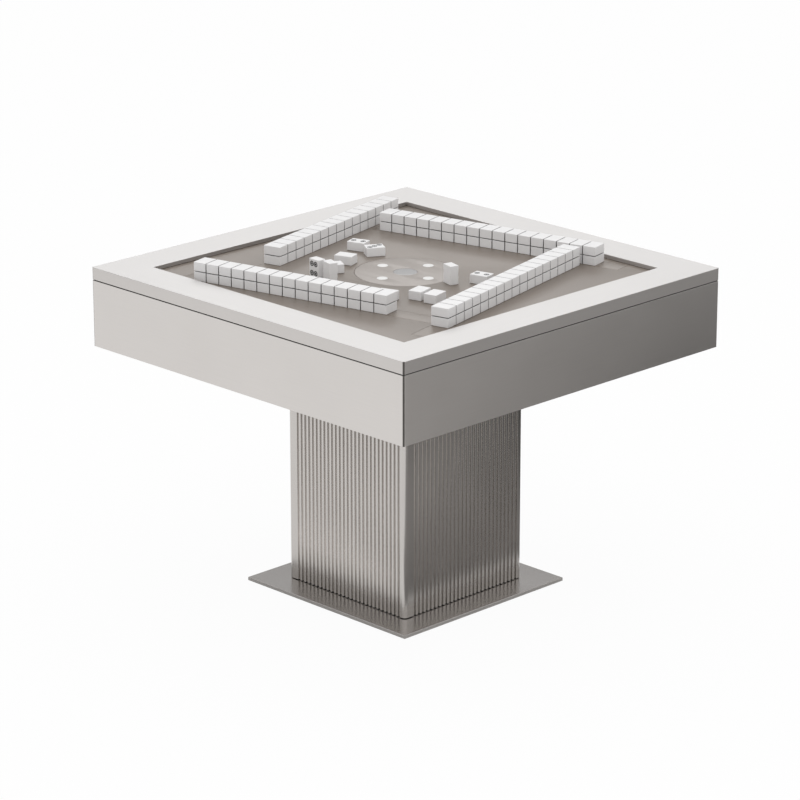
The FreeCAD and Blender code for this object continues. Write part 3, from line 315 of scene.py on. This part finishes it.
# Circuit boards: green lacquered boards, one under the console's buttons and one on the pan.
# Their copper tracks show through the lacquer as a fine grid.
LACQUER_TONES = ((0.008, 0.060, 0.022, 1), (0.030, 0.150, 0.060, 1))
TRACK_PITCH = 0.004
TRACK_LENGTH = TRACK_PITCH * 3
TRACK_WIDTH = TRACK_PITCH / 8
circuit_lacquer, track_place = new_finish("circuit_lacquer", Coat_Weight=0.4)
track_bricks = track_place.node(
    "ShaderNodeTexBrick", {"offset": 0.5},
    {"Vector": track_place, "Scale": 1.0, "Color1": (0, 0, 0, 1), "Color2": (0, 0, 0, 1),
     "Mortar": (1, 1, 1, 1), "Brick Width": TRACK_LENGTH, "Row Height": TRACK_PITCH,
     "Mortar Size": TRACK_WIDTH}, 1)
lay_on(circuit_lacquer, Base_Color=track_bricks.mixed(*LACQUER_TONES),
       Roughness=0.3 + track_place.noise(90.0) * 0.1)
dress(circuit_lacquer, "console_board", "control_board")

# Rails: the wide stainless border of the top, mitred at the corners and brushed along each side.
# A lip on the inner edge covers the edge of the cloth, and the level top is painted paler than the edges as
# a painted highlight.
RAIL_ROUGHNESS = 0.54
# Painted light and shade: the front and back rails take the lighter tones, the right and left rails the
# darker ones.
RAIL_X_LIT_TONES = ((0.548, 0.525, 0.507, 1), (0.646, 0.622, 0.603, 1))
RAIL_Y_SHADED_TONES = ((0.435, 0.414, 0.400, 1), (0.510, 0.488, 0.474, 1))
# Painted highlight: the level top of each rail takes these paler tones.
RAIL_TOP_HIGHLIGHT_TONES = ((0.580, 0.567, 0.559, 1), (0.677, 0.665, 0.657, 1))
TOP_HIGHLIGHT_DEPTH = 0.0004
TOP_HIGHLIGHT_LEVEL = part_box("rail_front")[1].z - TOP_HIGHLIGHT_DEPTH


def painted_top_highlight(place):
    """A mask of the level top of a rail, where the painted highlight goes."""
    return place.axes()[2] > TOP_HIGHLIGHT_LEVEL


for rail_name, rail_grain, rail_tones, rails in (
        ("rail_steel_along_x", GRAIN_ALONG_X, RAIL_X_LIT_TONES, ("rail_front", "rail_back")),
        ("rail_steel_along_y", GRAIN_ALONG_Y, RAIL_Y_SHADED_TONES, ("rail_right", "rail_left"))):
    rail_steel = brushed_steel(rail_name, rail_grain, RAIL_ROUGHNESS, rail_tones, (painted_top_highlight, RAIL_TOP_HIGHLIGHT_TONES))
    dress(rail_steel, *rails)

# Playing cloth: a warm grey cloth with a short satin nap, glued to the board and cut out over the lifts.
# Its cut edges roll over a little.
BOARD_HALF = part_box("play_board")[1].x
CLOTH_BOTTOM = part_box("play_cloth")[0].z
CLOTH_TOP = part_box("play_cloth")[1].z
WELL_HALF = abs(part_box("rail_left")[1].x)
ROW_SKEW = math.radians(13.5)
ROW_TURNS = {side: ROW_SKEW + step * math.pi / 2 for step, side in enumerate(SIDES)}
TRAY_LINE_SHARE = 0.7707
TRAY_BACK_SHARE = 0.996
TRAY_END_GAP = 0.0095
TRAY_WIDTH = 0.046
TRAY_OUTER = WELL_HALF * TRAY_LINE_SHARE
TRAY_INNER = TRAY_OUTER - TRAY_WIDTH
TRAY_BACK = WELL_HALF * TRAY_BACK_SHARE
TRAY_FRONT = TRAY_INNER - TRAY_END_GAP
SLOT_GAP = 0.0006
CONSOLE_HOLE = 0.1158
EDGE_ROLL = 0.0005
ROLL_STEPS = 2
MERGE_DISTANCE = 0.000005
LEVEL_FACE = 0.9999
SHARP_ANGLE = math.radians(35.0)


def oblong(x, y, turn):
    """Corners of an oblong between two places along each axis, turned about the table's axis."""
    turned = Matrix.Rotation(turn, 3, "Z")
    return [turned @ Vector((x[across], y[up], 0)) for across, up in ((0, 0), (1, 0), (1, 1), (0, 1))]


def ring(radius, centre=(0, 0), corners=96):
    """Points round a circle."""
    return [Vector((centre[0] + radius * math.cos(math.tau * step / corners),
                    centre[1] + radius * math.sin(math.tau * step / corners), 0)) for step in range(corners)]


def tidied(name, mesh):
    """A piece whose mesh is merged, turned outwards and smooth except on level faces and at sharp edges."""
    build = bmesh.new()
    build.from_mesh(mesh)
    bmesh.ops.remove_doubles(build, verts=build.verts, dist=MERGE_DISTANCE)
    bmesh.ops.recalc_face_normals(build, faces=build.faces)
    for face in build.faces:
        face.smooth = abs(face.normal.z) < LEVEL_FACE
    build.to_mesh(mesh)
    build.free()
    mesh.set_sharp_from_angle(angle=SHARP_ANGLE)
    mesh.materials.clear()
    piece = bpy.data.objects.new(name, mesh)
    bpy.context.scene.collection.objects.link(piece)
    return piece


def drawn_sheet(name, outlines, bottom, top, roll):
    """A flat sheet with holes and rolled edges, filled between outlines drawn inside its edges."""
    drawing = bpy.data.curves.new(name, "CURVE")
    drawing.dimensions = "2D"
    drawing.fill_mode = "BOTH"
    drawing.extrude = (top - bottom) / 2 - roll
    drawing.bevel_depth = roll
    drawing.bevel_resolution = ROLL_STEPS
    drawing.offset = -roll
    for outline in outlines:
        line = drawing.splines.new("POLY")
        line.points.add(len(outline) - 1)
        for point, corner in zip(line.points, outline):
            point.co = (corner.x, corner.y, 0, 1)
        line.use_cyclic_u = True
    holder = bpy.data.objects.new(name, drawing)
    bpy.context.scene.collection.objects.link(holder)
    bpy.context.view_layer.update()
    mesh = bpy.data.meshes.new_from_object(holder.evaluated_get(bpy.context.evaluated_depsgraph_get()))
    bpy.data.objects.remove(holder)
    mesh.transform(Matrix.Translation((0, 0, (bottom + top) / 2)))
    return tidied(name, mesh)


CLOTH_TONES = ((0.136, 0.106, 0.083, 1), (0.188, 0.150, 0.119, 1))
NAP_SCALE = 1900.0
NAP_DRAG = (60.0, 700.0, 60.0)
NAP_RELIEF = {"strength": 0.12, "depth": 0.0001}
PATCH_SCALE = 7.0
WEAVE_PITCH = 0.0011
play_nap, cloth_place = new_finish("satin_nap_cloth", IOR=1.85, Sheen_Weight=0.1, Sheen_Roughness=0.4)
nap = cloth_place.noise(NAP_SCALE, detail=2.0)
brushed_nap = cloth_place.noise(1.0, NAP_DRAG)
patches = cloth_place.noise(PATCH_SCALE)
threads_x, threads_y = [(part * (math.tau / WEAVE_PITCH)).waved() for part in cloth_place.axes()[:2]]
lay_on(play_nap, Base_Color=(nap * 0.4 + brushed_nap * 0.3 + patches * 0.3).mixed(*CLOTH_TONES),
       Roughness=0.30 + nap * 0.10 + patches * 0.06,
       Normal=bumped(threads_x * threads_y * 0.5 + nap, **NAP_RELIEF))
cloth_lines = [oblong((-BOARD_HALF, BOARD_HALF), (-BOARD_HALF, BOARD_HALF), 0.0), ring(CONSOLE_HOLE)]
for turn in ROW_TURNS.values():
    cloth_lines.append(oblong((-TRAY_BACK - SLOT_GAP, TRAY_FRONT + SLOT_GAP),
                              (-TRAY_OUTER - SLOT_GAP, -TRAY_INNER + SLOT_GAP), turn))
play_cloth = drawn_sheet("playing_cloth", cloth_lines, CLOTH_BOTTOM, CLOTH_TOP, EDGE_ROLL)
play_cloth.data.materials.append(play_nap)
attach(play_cloth, "table")
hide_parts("play_cloth")
CLOTH_SIDE = BOARD_HALF * 2
SLOT_LENGTH = TRAY_BACK + TRAY_FRONT + SLOT_GAP * 2
SLOT_WIDTH = TRAY_WIDTH + SLOT_GAP * 2
CUT_AREA = CLOTH_SIDE ** 2 - math.pi * CONSOLE_HOLE ** 2 - len(SIDES) * SLOT_LENGTH * SLOT_WIDTH

# Lift trays: narrow boards wrapped in the same cloth, each on a driven rod and two guide rods.
# The rods are ground bar, pressed into the underside of the board.
DRIVE_ROD_RADIUS = 0.008
GUIDE_ROD_RADIUS = 0.005
GUIDE_INSET = 0.107
ROD_CORNERS = 32
TRAY_DROP = 0.006
ROW_LINE = (TRAY_OUTER + TRAY_INNER) / 2


def lift_tray(side, turn):
    """A rolled-edge board and its three rods, each closed, in one mesh of two finishes."""
    low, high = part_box(f"lift_tray_{side}")
    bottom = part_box("play_board")[1].z - TRAY_DROP
    edge = oblong((-TRAY_BACK, TRAY_FRONT), (-TRAY_OUTER, -TRAY_INNER), turn)
    board = drawn_sheet(f"lift_tray_{side}_covered", [edge], bottom, high.z, EDGE_ROLL)
    build = bmesh.new()
    build.from_mesh(board.data)
    for along, radius in (((TRAY_FRONT - TRAY_BACK) / 2, DRIVE_ROD_RADIUS),
                          (GUIDE_INSET - TRAY_BACK, GUIDE_ROD_RADIUS),
                          (TRAY_FRONT - GUIDE_INSET, GUIDE_ROD_RADIUS)):
        spot = Matrix.Rotation(turn, 4, "Z") @ Matrix.Translation((along, -ROW_LINE, (low.z + bottom) / 2))
        rod = bmesh.ops.create_cone(build, cap_ends=True, segments=ROD_CORNERS, radius1=radius,
                                    radius2=radius, depth=bottom - low.z, matrix=spot)
        for face in {face for vertex in rod["verts"] for face in vertex.link_faces}:
            face.material_index = 1
            face.smooth = True
    build.to_mesh(board.data)
    build.free()
    board.data.set_sharp_from_angle(angle=SHARP_ANGLE)
    board.data.materials.append(play_nap)
    board.data.materials.append(turned_metal)
    return board


for side, turn in ROW_TURNS.items():
    tray = lift_tray(side, turn)
    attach(tray, f"lift_{side}")
    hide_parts(f"lift_tray_{side}")

# Tile walls: polished white resin tiles, two high and side by side along each tray, face down.
# Each tile is cast in two layers and tumbled, so its edges are round and its skin has a soft gloss.
# The seams between the tiles are darkened with painted shade where an occlusion node finds faces close
# together.
TILE_WIDTH = 0.033
TILE_LENGTH = 0.045
TILE_THICKNESS = 0.0222
TILE_GAP = 0.001
TILE_LIFT = 0.0003
TILE_TRIM = 0.0014
TILE_ROUND = 0.0008
TILE_PITCH = TILE_WIDTH + TILE_GAP
TILE_STOREY = TILE_THICKNESS + TILE_LIFT
ROUND_STEPS = 3
ROW_START_SHARES = {"front": 0.9113, "right": 0.8068, "back": 0.8516, "left": 0.9885}
ROW_STACKS = {"front": 15, "right": 17, "back": 17, "left": 15}
STACK_TILES = 2
RESIN_TONES = ((0.80, 0.792, 0.792, 1), (0.84, 0.832, 0.832, 1))
RESIN_CLOUD_SCALE = 45.0
RESIN_WAVE_SCALE = 350.0
RESIN_RELIEF = {"strength": 0.05, "depth": 0.0001}
PAINTED_SEAM_SHADE = (0.06, 0.056, 0.052, 1)
SEAM_REACH = 0.004
tile_resin, resin_place = new_finish("white_tile_resin", IOR=1.5, Coat_Weight=0.15, Coat_Roughness=0.12)
resin_clouds = resin_place.noise(RESIN_CLOUD_SCALE)
# Painted shade: the occlusion value darkens the resin towards the seam colour in the gaps between tiles.
openness = resin_place.node("ShaderNodeAmbientOcclusion", {"only_local": True, "samples": 8},
                            {"Distance": SEAM_REACH}, 1)
lay_on(tile_resin, Base_Color=openness.mixed(PAINTED_SEAM_SHADE, resin_clouds.mixed(*RESIN_TONES)),
       Roughness=0.26 + resin_clouds * 0.1,
       Normal=bumped(resin_place.noise(RESIN_WAVE_SCALE), **RESIN_RELIEF))


def rounded_tile(name):
    """One tile about the origin, its printed face up."""
    mesh = bpy.data.meshes.new(name)
    build = bmesh.new()
    lengths = [length - TILE_TRIM for length in (TILE_WIDTH, TILE_LENGTH, TILE_THICKNESS)]
    bmesh.ops.create_cube(build, size=1.0, matrix=Matrix.Diagonal((*lengths, 1)))
    bmesh.ops.bevel(build, geom=build.edges, offset=TILE_ROUND, segments=ROUND_STEPS, profile=0.5,
                    affect="EDGES")
    for face in build.faces:
        face.smooth = max(abs(part) for part in face.normal) < LEVEL_FACE
    build.to_mesh(mesh)
    build.free()
    return mesh


def tree_input(tree, name, kind, value):
    """Gives a node tree a named input and returns the identifier that a modifier sets it by."""
    socket = tree.interface.new_socket(name, in_out="INPUT", socket_type=kind)
    socket.default_value = value
    return socket.identifier


def wall_tree():
    """Stacks a tile in two storeys along a row and turns the row to its side of the table."""
    tree = bpy.data.node_groups.new("tile_wall", "GeometryNodeTree")
    tree.interface.new_socket("Geometry", in_out="INPUT", socket_type="NodeSocketGeometry")
    tree.interface.new_socket("Geometry", in_out="OUTPUT", socket_type="NodeSocketGeometry")
    sizes = {"Stacks": ("NodeSocketInt", 1), "Pitch": ("NodeSocketFloat", TILE_PITCH),
             "Storey": ("NodeSocketFloat", TILE_STOREY), "Start": ("NodeSocketVector", (0, 0, 0)),
             "Turn": ("NodeSocketFloat", 0.0), "Finish": ("NodeSocketMaterial", None)}
    identifiers = {name: tree_input(tree, name, kind, value) for name, (kind, value) in sizes.items()}

    def made(kind, settings, inputs):
        node = tree.nodes.new(kind)
        for name, setting in settings.items():
            setattr(node, name, setting)
        for name, value in inputs.items():
            if hasattr(value, "is_output"):
                tree.links.new(value, node.inputs[name])
            else:
                node.inputs[name].default_value = value
        return node.outputs

    given = made("NodeGroupInput", {}, {})
    along = made("ShaderNodeCombineXYZ", {}, {"X": given["Pitch"]})[0]
    upward = made("ShaderNodeCombineXYZ", {}, {"Z": given["Storey"]})[0]
    turn = made("ShaderNodeCombineXYZ", {}, {"Z": given["Turn"]})[0]
    storeys = made("GeometryNodeMeshLine", {"mode": "OFFSET"},
                   {"Count": STACK_TILES, "Offset": upward})["Mesh"]
    row = made("GeometryNodeMeshLine", {"mode": "OFFSET"},
               {"Count": given["Stacks"], "Start Location": given["Start"], "Offset": along})["Mesh"]
    stack = made("GeometryNodeInstanceOnPoints", {},
                 {"Points": storeys, "Instance": given["Geometry"]})["Instances"]
    wall = made("GeometryNodeInstanceOnPoints", {}, {"Points": row, "Instance": stack})["Instances"]
    whole = made("GeometryNodeRealizeInstances", {}, {"Geometry": wall})["Geometry"]
    placed = made("GeometryNodeTransform", {}, {"Geometry": whole, "Rotation": turn})["Geometry"]
    coated = made("GeometryNodeSetMaterial", {},
                  {"Geometry": placed, "Material": given["Finish"]})["Geometry"]
    result = tree.nodes.new("NodeGroupOutput")
    tree.links.new(coated, result.inputs["Geometry"])
    return tree, identifiers


def grown(name, mesh, tree, values):
    """A plain mesh piece made by a node tree from a starting mesh."""
    piece = bpy.data.objects.new(name, mesh.copy())
    bpy.context.scene.collection.objects.link(piece)
    growth = piece.modifiers.new("growth", "NODES")
    growth.node_group = tree
    for identifier, value in values.items():
        growth[identifier] = value
    bpy.context.view_layer.update()
    plain = bpy.data.meshes.new_from_object(piece.evaluated_get(bpy.context.evaluated_depsgraph_get()))
    piece.modifiers.clear()
    piece.data = plain
    return piece


one_tile = rounded_tile("one_tile")
tile_tree, tile_inputs = wall_tree()
for side, turn in ROW_TURNS.items():
    first = (TILE_PITCH / 2 - WELL_HALF * ROW_START_SHARES[side], -ROW_LINE,
             CLOTH_TOP + TILE_LIFT + (TILE_THICKNESS - TILE_TRIM) / 2)
    wall = grown(f"tile_wall_{side}_tiles", one_tile, tile_tree, {
        tile_inputs["Stacks"]: ROW_STACKS[side], tile_inputs["Start"]: first,
        tile_inputs["Turn"]: turn, tile_inputs["Finish"]: tile_resin})
    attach(wall, f"lift_{side}")
    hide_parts(f"tile_wall_{side}")

# Loose tiles: eleven of the same tiles, some standing and some lying on the cloth.
# A few show their faces, cut with round pips that are filled with dark paint.
# Each row of the list gives a tile's place, its heading in degrees, its stance and its pips.
LOOSE = (
    ((-0.107, -0.1715), -4, "upright", 4),
    ((-0.069, -0.168), -16, "upright", 0),
    ((-0.112, -0.118), -28, "flat", 0),
    ((-0.1445, -0.0475), -70, "flat", 0),
    ((-0.206, 0.052), -70, "flat", 2),
    ((-0.148, 0.047), -30, "flat", 3),
    ((0.1375, 0.0065), 165, "upright", 0),
    ((0.183, 0.0585), -76, "flat", 2),
    ((0.170, -0.124), 14, "flat", 0),
    ((0.212, -0.119), 14, "flat", 0),
    ((0.130, -0.185), -70, "flat", 0),
)
PIP_SHARES = {2: ((0, 0.27), (0, -0.27)), 3: ((-0.2, 0.28), (0, 0), (0.2, -0.28)),
              4: ((-0.2, 0.24), (0.2, 0.24), (-0.2, -0.24), (0.2, -0.24))}
PIP_RADIUS = 0.0062
PIP_INNER_RADIUS = 0.00372
PIP_DOT_RADIUS = 0.0026
PIP_PROUD = 0.00008
PIP_CORNERS = 24
INK_TONES = ((0.010, 0.011, 0.013, 1), (0.025, 0.026, 0.029, 1))
pip_paint = mottled("dark_pip_paint", INK_TONES, cloud_scale=400.0, skin_scale=200.0, roughness=0.3,
                    spread=0.15)


def paint_pip(build, centre):
    """A flat painted ring with a dot in it, just proud of the upper face of the tile about the origin."""
    level = (TILE_THICKNESS - TILE_TRIM) / 2 + PIP_PROUD
    outer, inner, dot = [
        [build.verts.new((point.x, point.y, level)) for point in ring(radius, centre, PIP_CORNERS)]
        for radius in (PIP_RADIUS, PIP_INNER_RADIUS, PIP_DOT_RADIUS)]
    build.faces.new(dot).material_index = 1
    for step in range(PIP_CORNERS):
        ahead = (step + 1) % PIP_CORNERS
        build.faces.new((outer[step], outer[ahead], inner[ahead], inner[step])).material_index = 1


loose_mesh = bpy.data.meshes.new("loose_tiles_on_cloth")
loose_build = bmesh.new()
for (x, y), heading, stance, pips in LOOSE:
    single = bmesh.new()
    single.from_mesh(one_tile)
    for share_x, share_y in PIP_SHARES.get(pips, ()):
        paint_pip(single, (share_x * TILE_WIDTH, share_y * TILE_LENGTH))
    height = (TILE_LENGTH if stance == "upright" else TILE_THICKNESS) - TILE_TRIM
    tip = Matrix.Rotation(math.pi / 2 if stance == "upright" else 0.0, 4, "X")
    spot = Matrix.Translation((x, y, CLOTH_TOP + TILE_LIFT + height / 2))
    single.transform(spot @ Matrix.Rotation(math.radians(heading), 4, "Z") @ tip)
    copied = bpy.data.meshes.new("one_loose_tile")
    single.to_mesh(copied)
    single.free()
    loose_build.from_mesh(copied)
    bpy.data.meshes.remove(copied)
loose_build.to_mesh(loose_mesh)
loose_build.free()
loose_mesh.materials.append(tile_resin)
loose_mesh.materials.append(pip_paint)
loose_tiles = bpy.data.objects.new("loose_tiles_on_cloth", loose_mesh)
bpy.context.scene.collection.objects.link(loose_tiles)
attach(loose_tiles, "loose_tiles")
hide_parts("loose_tiles")

# Console: a round plate of back-painted glass, flush with the cloth, on a black tub that rises on a stem.
# Its edge is ground to a small bevel.
GLASS_TONES = ((0.315, 0.282, 0.258, 1), (0.355, 0.320, 0.294, 1))
GLASS_BEVEL = 0.0004
LENS_HOLE = 0.0276
LENS_CORNERS = 64
BUTTON_HOLE = 0.0127
BUTTON_ORBIT = 0.073
BUTTON_CORNERS = 48
console_gloss = mottled("back_painted_glass", GLASS_TONES, cloud_scale=30.0, skin_scale=120.0,
                        roughness=0.34, spread=0.05, IOR=1.45, Coat_Weight=0.1, Coat_Roughness=0.3)
glass_low, glass_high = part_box("console_glass")
console_lines = [ring(glass_high.x), ring(LENS_HOLE, corners=LENS_CORNERS)]
for step in range(len(SIDES)):
    button_place = (BUTTON_ORBIT * math.sin(step * math.pi / 2),
                    -BUTTON_ORBIT * math.cos(step * math.pi / 2))
    console_lines.append(ring(BUTTON_HOLE, button_place, BUTTON_CORNERS))
console_plate = drawn_sheet("console_plate", console_lines, glass_low.z, glass_high.z, GLASS_BEVEL)
console_plate.data.materials.append(console_gloss)
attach(console_plate, "console")
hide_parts("console_glass")


# Lens and buttons: moulded caps that stand in holes of the glass.
# The lens over the dice display is frosted; the four start buttons are white and slightly domed.
def turned_cap(name, centre, profile, corners=64):
    """A cap turned about an upright axis from a profile of (radius, level) pairs, bottom to top."""
    build = bmesh.new()
    circles = []
    for radius, level in profile:
        if radius == 0:
            circles.append([build.verts.new((centre[0], centre[1], level))])
        else:
            circles.append([build.verts.new((centre[0] + point.x, centre[1] + point.y, level))
                            for point in ring(radius, corners=corners)])
    for lower, upper in zip(circles, circles[1:]):
        for step in range(corners):
            ahead = (step + 1) % corners
            face_corners = [lower[step % len(lower)], lower[ahead % len(lower)],
                            upper[ahead % len(upper)], upper[step % len(upper)]]
            build.faces.new(list(dict.fromkeys(face_corners)))
    mesh = bpy.data.meshes.new(name)
    build.to_mesh(mesh)
    build.free()
    return tidied(name, mesh)


def rounded_shoulder(radius, top, round_over, dome, steps=6):
    """The upper end of a cap: a rounded shoulder that runs into a shallow dome."""
    line = []
    for step in range(steps + 1):
        angle = math.pi / 2 * step / steps
        line.append((radius - round_over + round_over * math.cos(angle),
                     top - dome - round_over + round_over * math.sin(angle)))
    inner = radius - round_over
    for step in range(1, steps + 1):
        across = 1.0 - step / steps
        line.append((inner * across, top - dome * across * across))
    return line


LENS_TONES = ((0.33, 0.325, 0.325, 1), (0.40, 0.395, 0.395, 1))
LENS_ROUND = 0.0006
LENS_DOME = 0.0003
frosted_lens = mottled("frosted_lens", LENS_TONES, cloud_scale=80.0, skin_scale=500.0, roughness=0.18,
                       spread=0.1, Coat_Weight=0.5, Coat_Roughness=0.05)
lens_low, lens_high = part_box("console_lens")
display_lens = turned_cap("display_lens", (0, 0), [(0, lens_low.z), (lens_high.x, lens_low.z)]
                          + rounded_shoulder(lens_high.x, lens_high.z, LENS_ROUND, LENS_DOME))
display_lens.data.materials.append(frosted_lens)
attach(display_lens, "console")
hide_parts("console_lens")

CAP_TONES = ((0.75, 0.745, 0.735, 1), (0.80, 0.795, 0.785, 1))
CAP_RADIUS = 0.0124
CAP_ROUND = 0.0005
CAP_DOME = 0.0003
COLLAR_THICKNESS = 0.0032
COLLAR_GAP = 0.0003
COLLAR_TOP = glass_low.z - COLLAR_GAP
COLLAR_BOTTOM = COLLAR_TOP - COLLAR_THICKNESS
PLUNGER_RADIUS = 0.004
white_cap = mottled("white_button_plastic", CAP_TONES, cloud_scale=90.0, skin_scale=300.0, roughness=0.3,
                    spread=0.1, Coat_Weight=0.2, Coat_Roughness=0.1)
for side in SIDES:
    low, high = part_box(f"button_{side}")
    collar_radius = (high.x - low.x) / 2
    stem = [(0, low.z), (PLUNGER_RADIUS, low.z), (PLUNGER_RADIUS, COLLAR_BOTTOM),
            (collar_radius, COLLAR_BOTTOM), (collar_radius, COLLAR_TOP), (CAP_RADIUS, COLLAR_TOP)]
    cap = turned_cap(f"start_button_{side}", ((low.x + high.x) / 2, (low.y + high.y) / 2),
                     stem + rounded_shoulder(CAP_RADIUS, high.z, CAP_ROUND, CAP_DOME))
    cap.data.materials.append(white_cap)
    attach(cap, f"button_{side}")
    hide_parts(f"button_{side}")

# Stage: a pale floor under soft studio light, with the camera where the photograph was taken from.
# The floor and the sky look white. A grey card on the floor, which shows only in reflections, keeps the
# right-hand faces darker.
FLOOR_HALF = 14.0
FLOOR_LEVEL = -0.0005
FLOOR_WHITE = (0.86, 0.86, 0.86, 1)
GLOW_WHITE = (1, 1, 1, 1)
CAMERA_GLOW = 0.95
GLOSSY_GLOW = 0.75
GLOSSY_BOOST = 0.25
FOOT_SHADE = 0.29
floor_mesh = bpy.data.meshes.new("pale_floor")
floor_mesh.from_pydata([(x * FLOOR_HALF, y * FLOOR_HALF, FLOOR_LEVEL)
                        for x, y in ((-1, -1), (1, -1), (1, 1), (-1, 1))], [], [(0, 1, 2, 3)])
floor = bpy.data.objects.new("pale_floor", floor_mesh)
bpy.context.scene.collection.objects.link(floor)
floor_paint = bpy.data.materials.new("pale_floor_paint")
floor_paint.use_nodes = True
floor_paint.node_tree.nodes.clear()
floor_start = Value(floor_paint.node_tree)
floor_rays = floor_start.node("ShaderNodeLightPath", {}, {}).outputs()
glossy_ray = floor_rays["Is Glossy Ray"]
lit = floor_start.node("ShaderNodeBsdfDiffuse", {}, {"Color": FLOOR_WHITE})
glow = floor_start.node("ShaderNodeEmission", {},
                        {"Color": GLOW_WHITE, "Strength": 1.0 + glossy_ray * GLOSSY_BOOST})
floor_place = floor_start.node("ShaderNodeTexCoord", {}, {}).outputs()["Object"]
floor_x, floor_y = [abs(part) for part in floor_place.axes()[:2]]
away = floor_x.larger(floor_y) > FOOT_SHADE
mirrored_floor = (glossy_ray + floor_rays["Is Transmission Ray"]) * away * GLOSSY_GLOW
glow_share = floor_rays["Is Camera Ray"] * CAMERA_GLOW + mirrored_floor
floor_mix = floor_start.node("ShaderNodeMixShader", {}, {0: glow_share, 1: lit, 2: glow})
floor_out = floor_paint.node_tree.nodes.new("ShaderNodeOutputMaterial")
floor_paint.node_tree.links.new(floor_mix.socket, floor_out.inputs["Surface"])
floor_mesh.materials.append(floor_paint)

SKY_FILL = 0.92
SKY_GLOSSY = 0.76
SKY_TILT = 0.23
world = bpy.data.worlds.new("studio")
bpy.context.scene.world = world
world.use_nodes = True
world.node_tree.nodes.clear()
sky_start = Value(world.node_tree)
sky_rays = sky_start.node("ShaderNodeLightPath", {}, {}).outputs()
seen = sky_rays["Is Camera Ray"] + sky_rays["Is Transmission Ray"]
sky_x, sky_y = sky_start.node("ShaderNodeTexCoord", {}, {}).outputs()["Generated"].axes()[:2]
mirrored_sky = (sky_x - sky_y) * SKY_TILT + SKY_GLOSSY - SKY_FILL
strength = SKY_FILL + seen * (1.0 - SKY_FILL) + sky_rays["Is Glossy Ray"] * mirrored_sky
sky_colour = sky_start.node("ShaderNodeBackground", {}, {"Color": GLOW_WHITE, "Strength": strength})
sky_out = world.node_tree.nodes.new("ShaderNodeOutputWorld")
world.node_tree.links.new(sky_colour.socket, sky_out.inputs["Surface"])

TABLE_MIDDLE = Vector((0.0, 0.0, 0.6))


def soft_lamp(name, place, size, power, mirrored, lighting=True):
    """A square lamp facing the table: mirrored ones show in reflections, lighting ones light matt faces."""
    lamp = bpy.data.lights.new(name, "AREA")
    lamp.size = size
    lamp.energy = power
    holder = bpy.data.objects.new(name, lamp)
    bpy.context.scene.collection.objects.link(holder)
    holder.location = place
    holder.rotation_mode = "QUATERNION"
    holder.rotation_quaternion = (TABLE_MIDDLE - Vector(place)).to_track_quat("-Z", "Y")
    holder.visible_glossy = mirrored
    holder.visible_diffuse = lighting


soft_lamp("overhead_softbox", (0.0, 0.0, 3.6), size=3.0, power=20.0, mirrored=False)
soft_lamp("rail_softbox", (-2.1, 1.9, 3.9), size=4.2, power=80.0, mirrored=True, lighting=False)

CARD_TONES = ((0.04, 0.039, 0.038, 1), (0.37, 0.362, 0.354, 1))
CARD_ROUGHNESS = 0.9
CARD_NEAR = 2.1
CARD_NEAR_GAIN = 0.8
CARD_LEVEL = 0.004
CARD_CORNERS = ((0.28, -0.6), (2.2, -0.6), (4.2, 1.4), (4.2, 4.2), (-0.2, 4.2), (-0.1, 0.35), (0.3, 0.3))
card_mesh = bpy.data.meshes.new("floor_card")
card_mesh.from_pydata([(x, y, CARD_LEVEL) for x, y in CARD_CORNERS], [], [tuple(range(len(CARD_CORNERS)))])
floor_card = bpy.data.objects.new("floor_card", card_mesh)
bpy.context.scene.collection.objects.link(floor_card)
floor_card.visible_camera = False
floor_card.visible_shadow = False
floor_card.visible_diffuse = False
card_paint, card_place = new_finish("grey_card_paint", Roughness=CARD_ROUGHNESS)
card_x, card_y = card_place.axes()[:2]
nearness = (CARD_NEAR - (card_x + card_y)).larger(0.0) * CARD_NEAR_GAIN
lay_on(card_paint, Base_Color=(card_x - card_y + nearness).mixed(*CARD_TONES))
card_mesh.materials.append(card_paint)

CAMERA_LENS = 164.7
SENSOR_WIDTH = 36.0
CAMERA_DISTANCE = 8.343
CAMERA_AIM = 0.4406
CAMERA_RISE = math.radians(18.181)
CAMERA_TURN = math.radians(45.29)
FRAME_PIXELS = 800.0
OBJECT_RIGHT_PIXELS = 5.4
camera_data = bpy.data.cameras.new("camera")
camera_data.lens = CAMERA_LENS
camera_data.sensor_width = SENSOR_WIDTH
camera_data.shift_x = -OBJECT_RIGHT_PIXELS / FRAME_PIXELS
camera = bpy.data.objects.new("camera", camera_data)
bpy.context.scene.collection.objects.link(camera)
toward = Vector((math.sin(CAMERA_TURN) * math.cos(CAMERA_RISE),
                 -math.cos(CAMERA_TURN) * math.cos(CAMERA_RISE), math.sin(CAMERA_RISE)))
camera.location = Vector((0, 0, CAMERA_AIM)) + toward * CAMERA_DISTANCE
camera.rotation_mode = "QUATERNION"
camera.rotation_quaternion = toward.to_track_quat("Z", "Y")
bpy.context.scene.camera = camera
bpy.context.scene.view_settings.view_transform = "Standard"
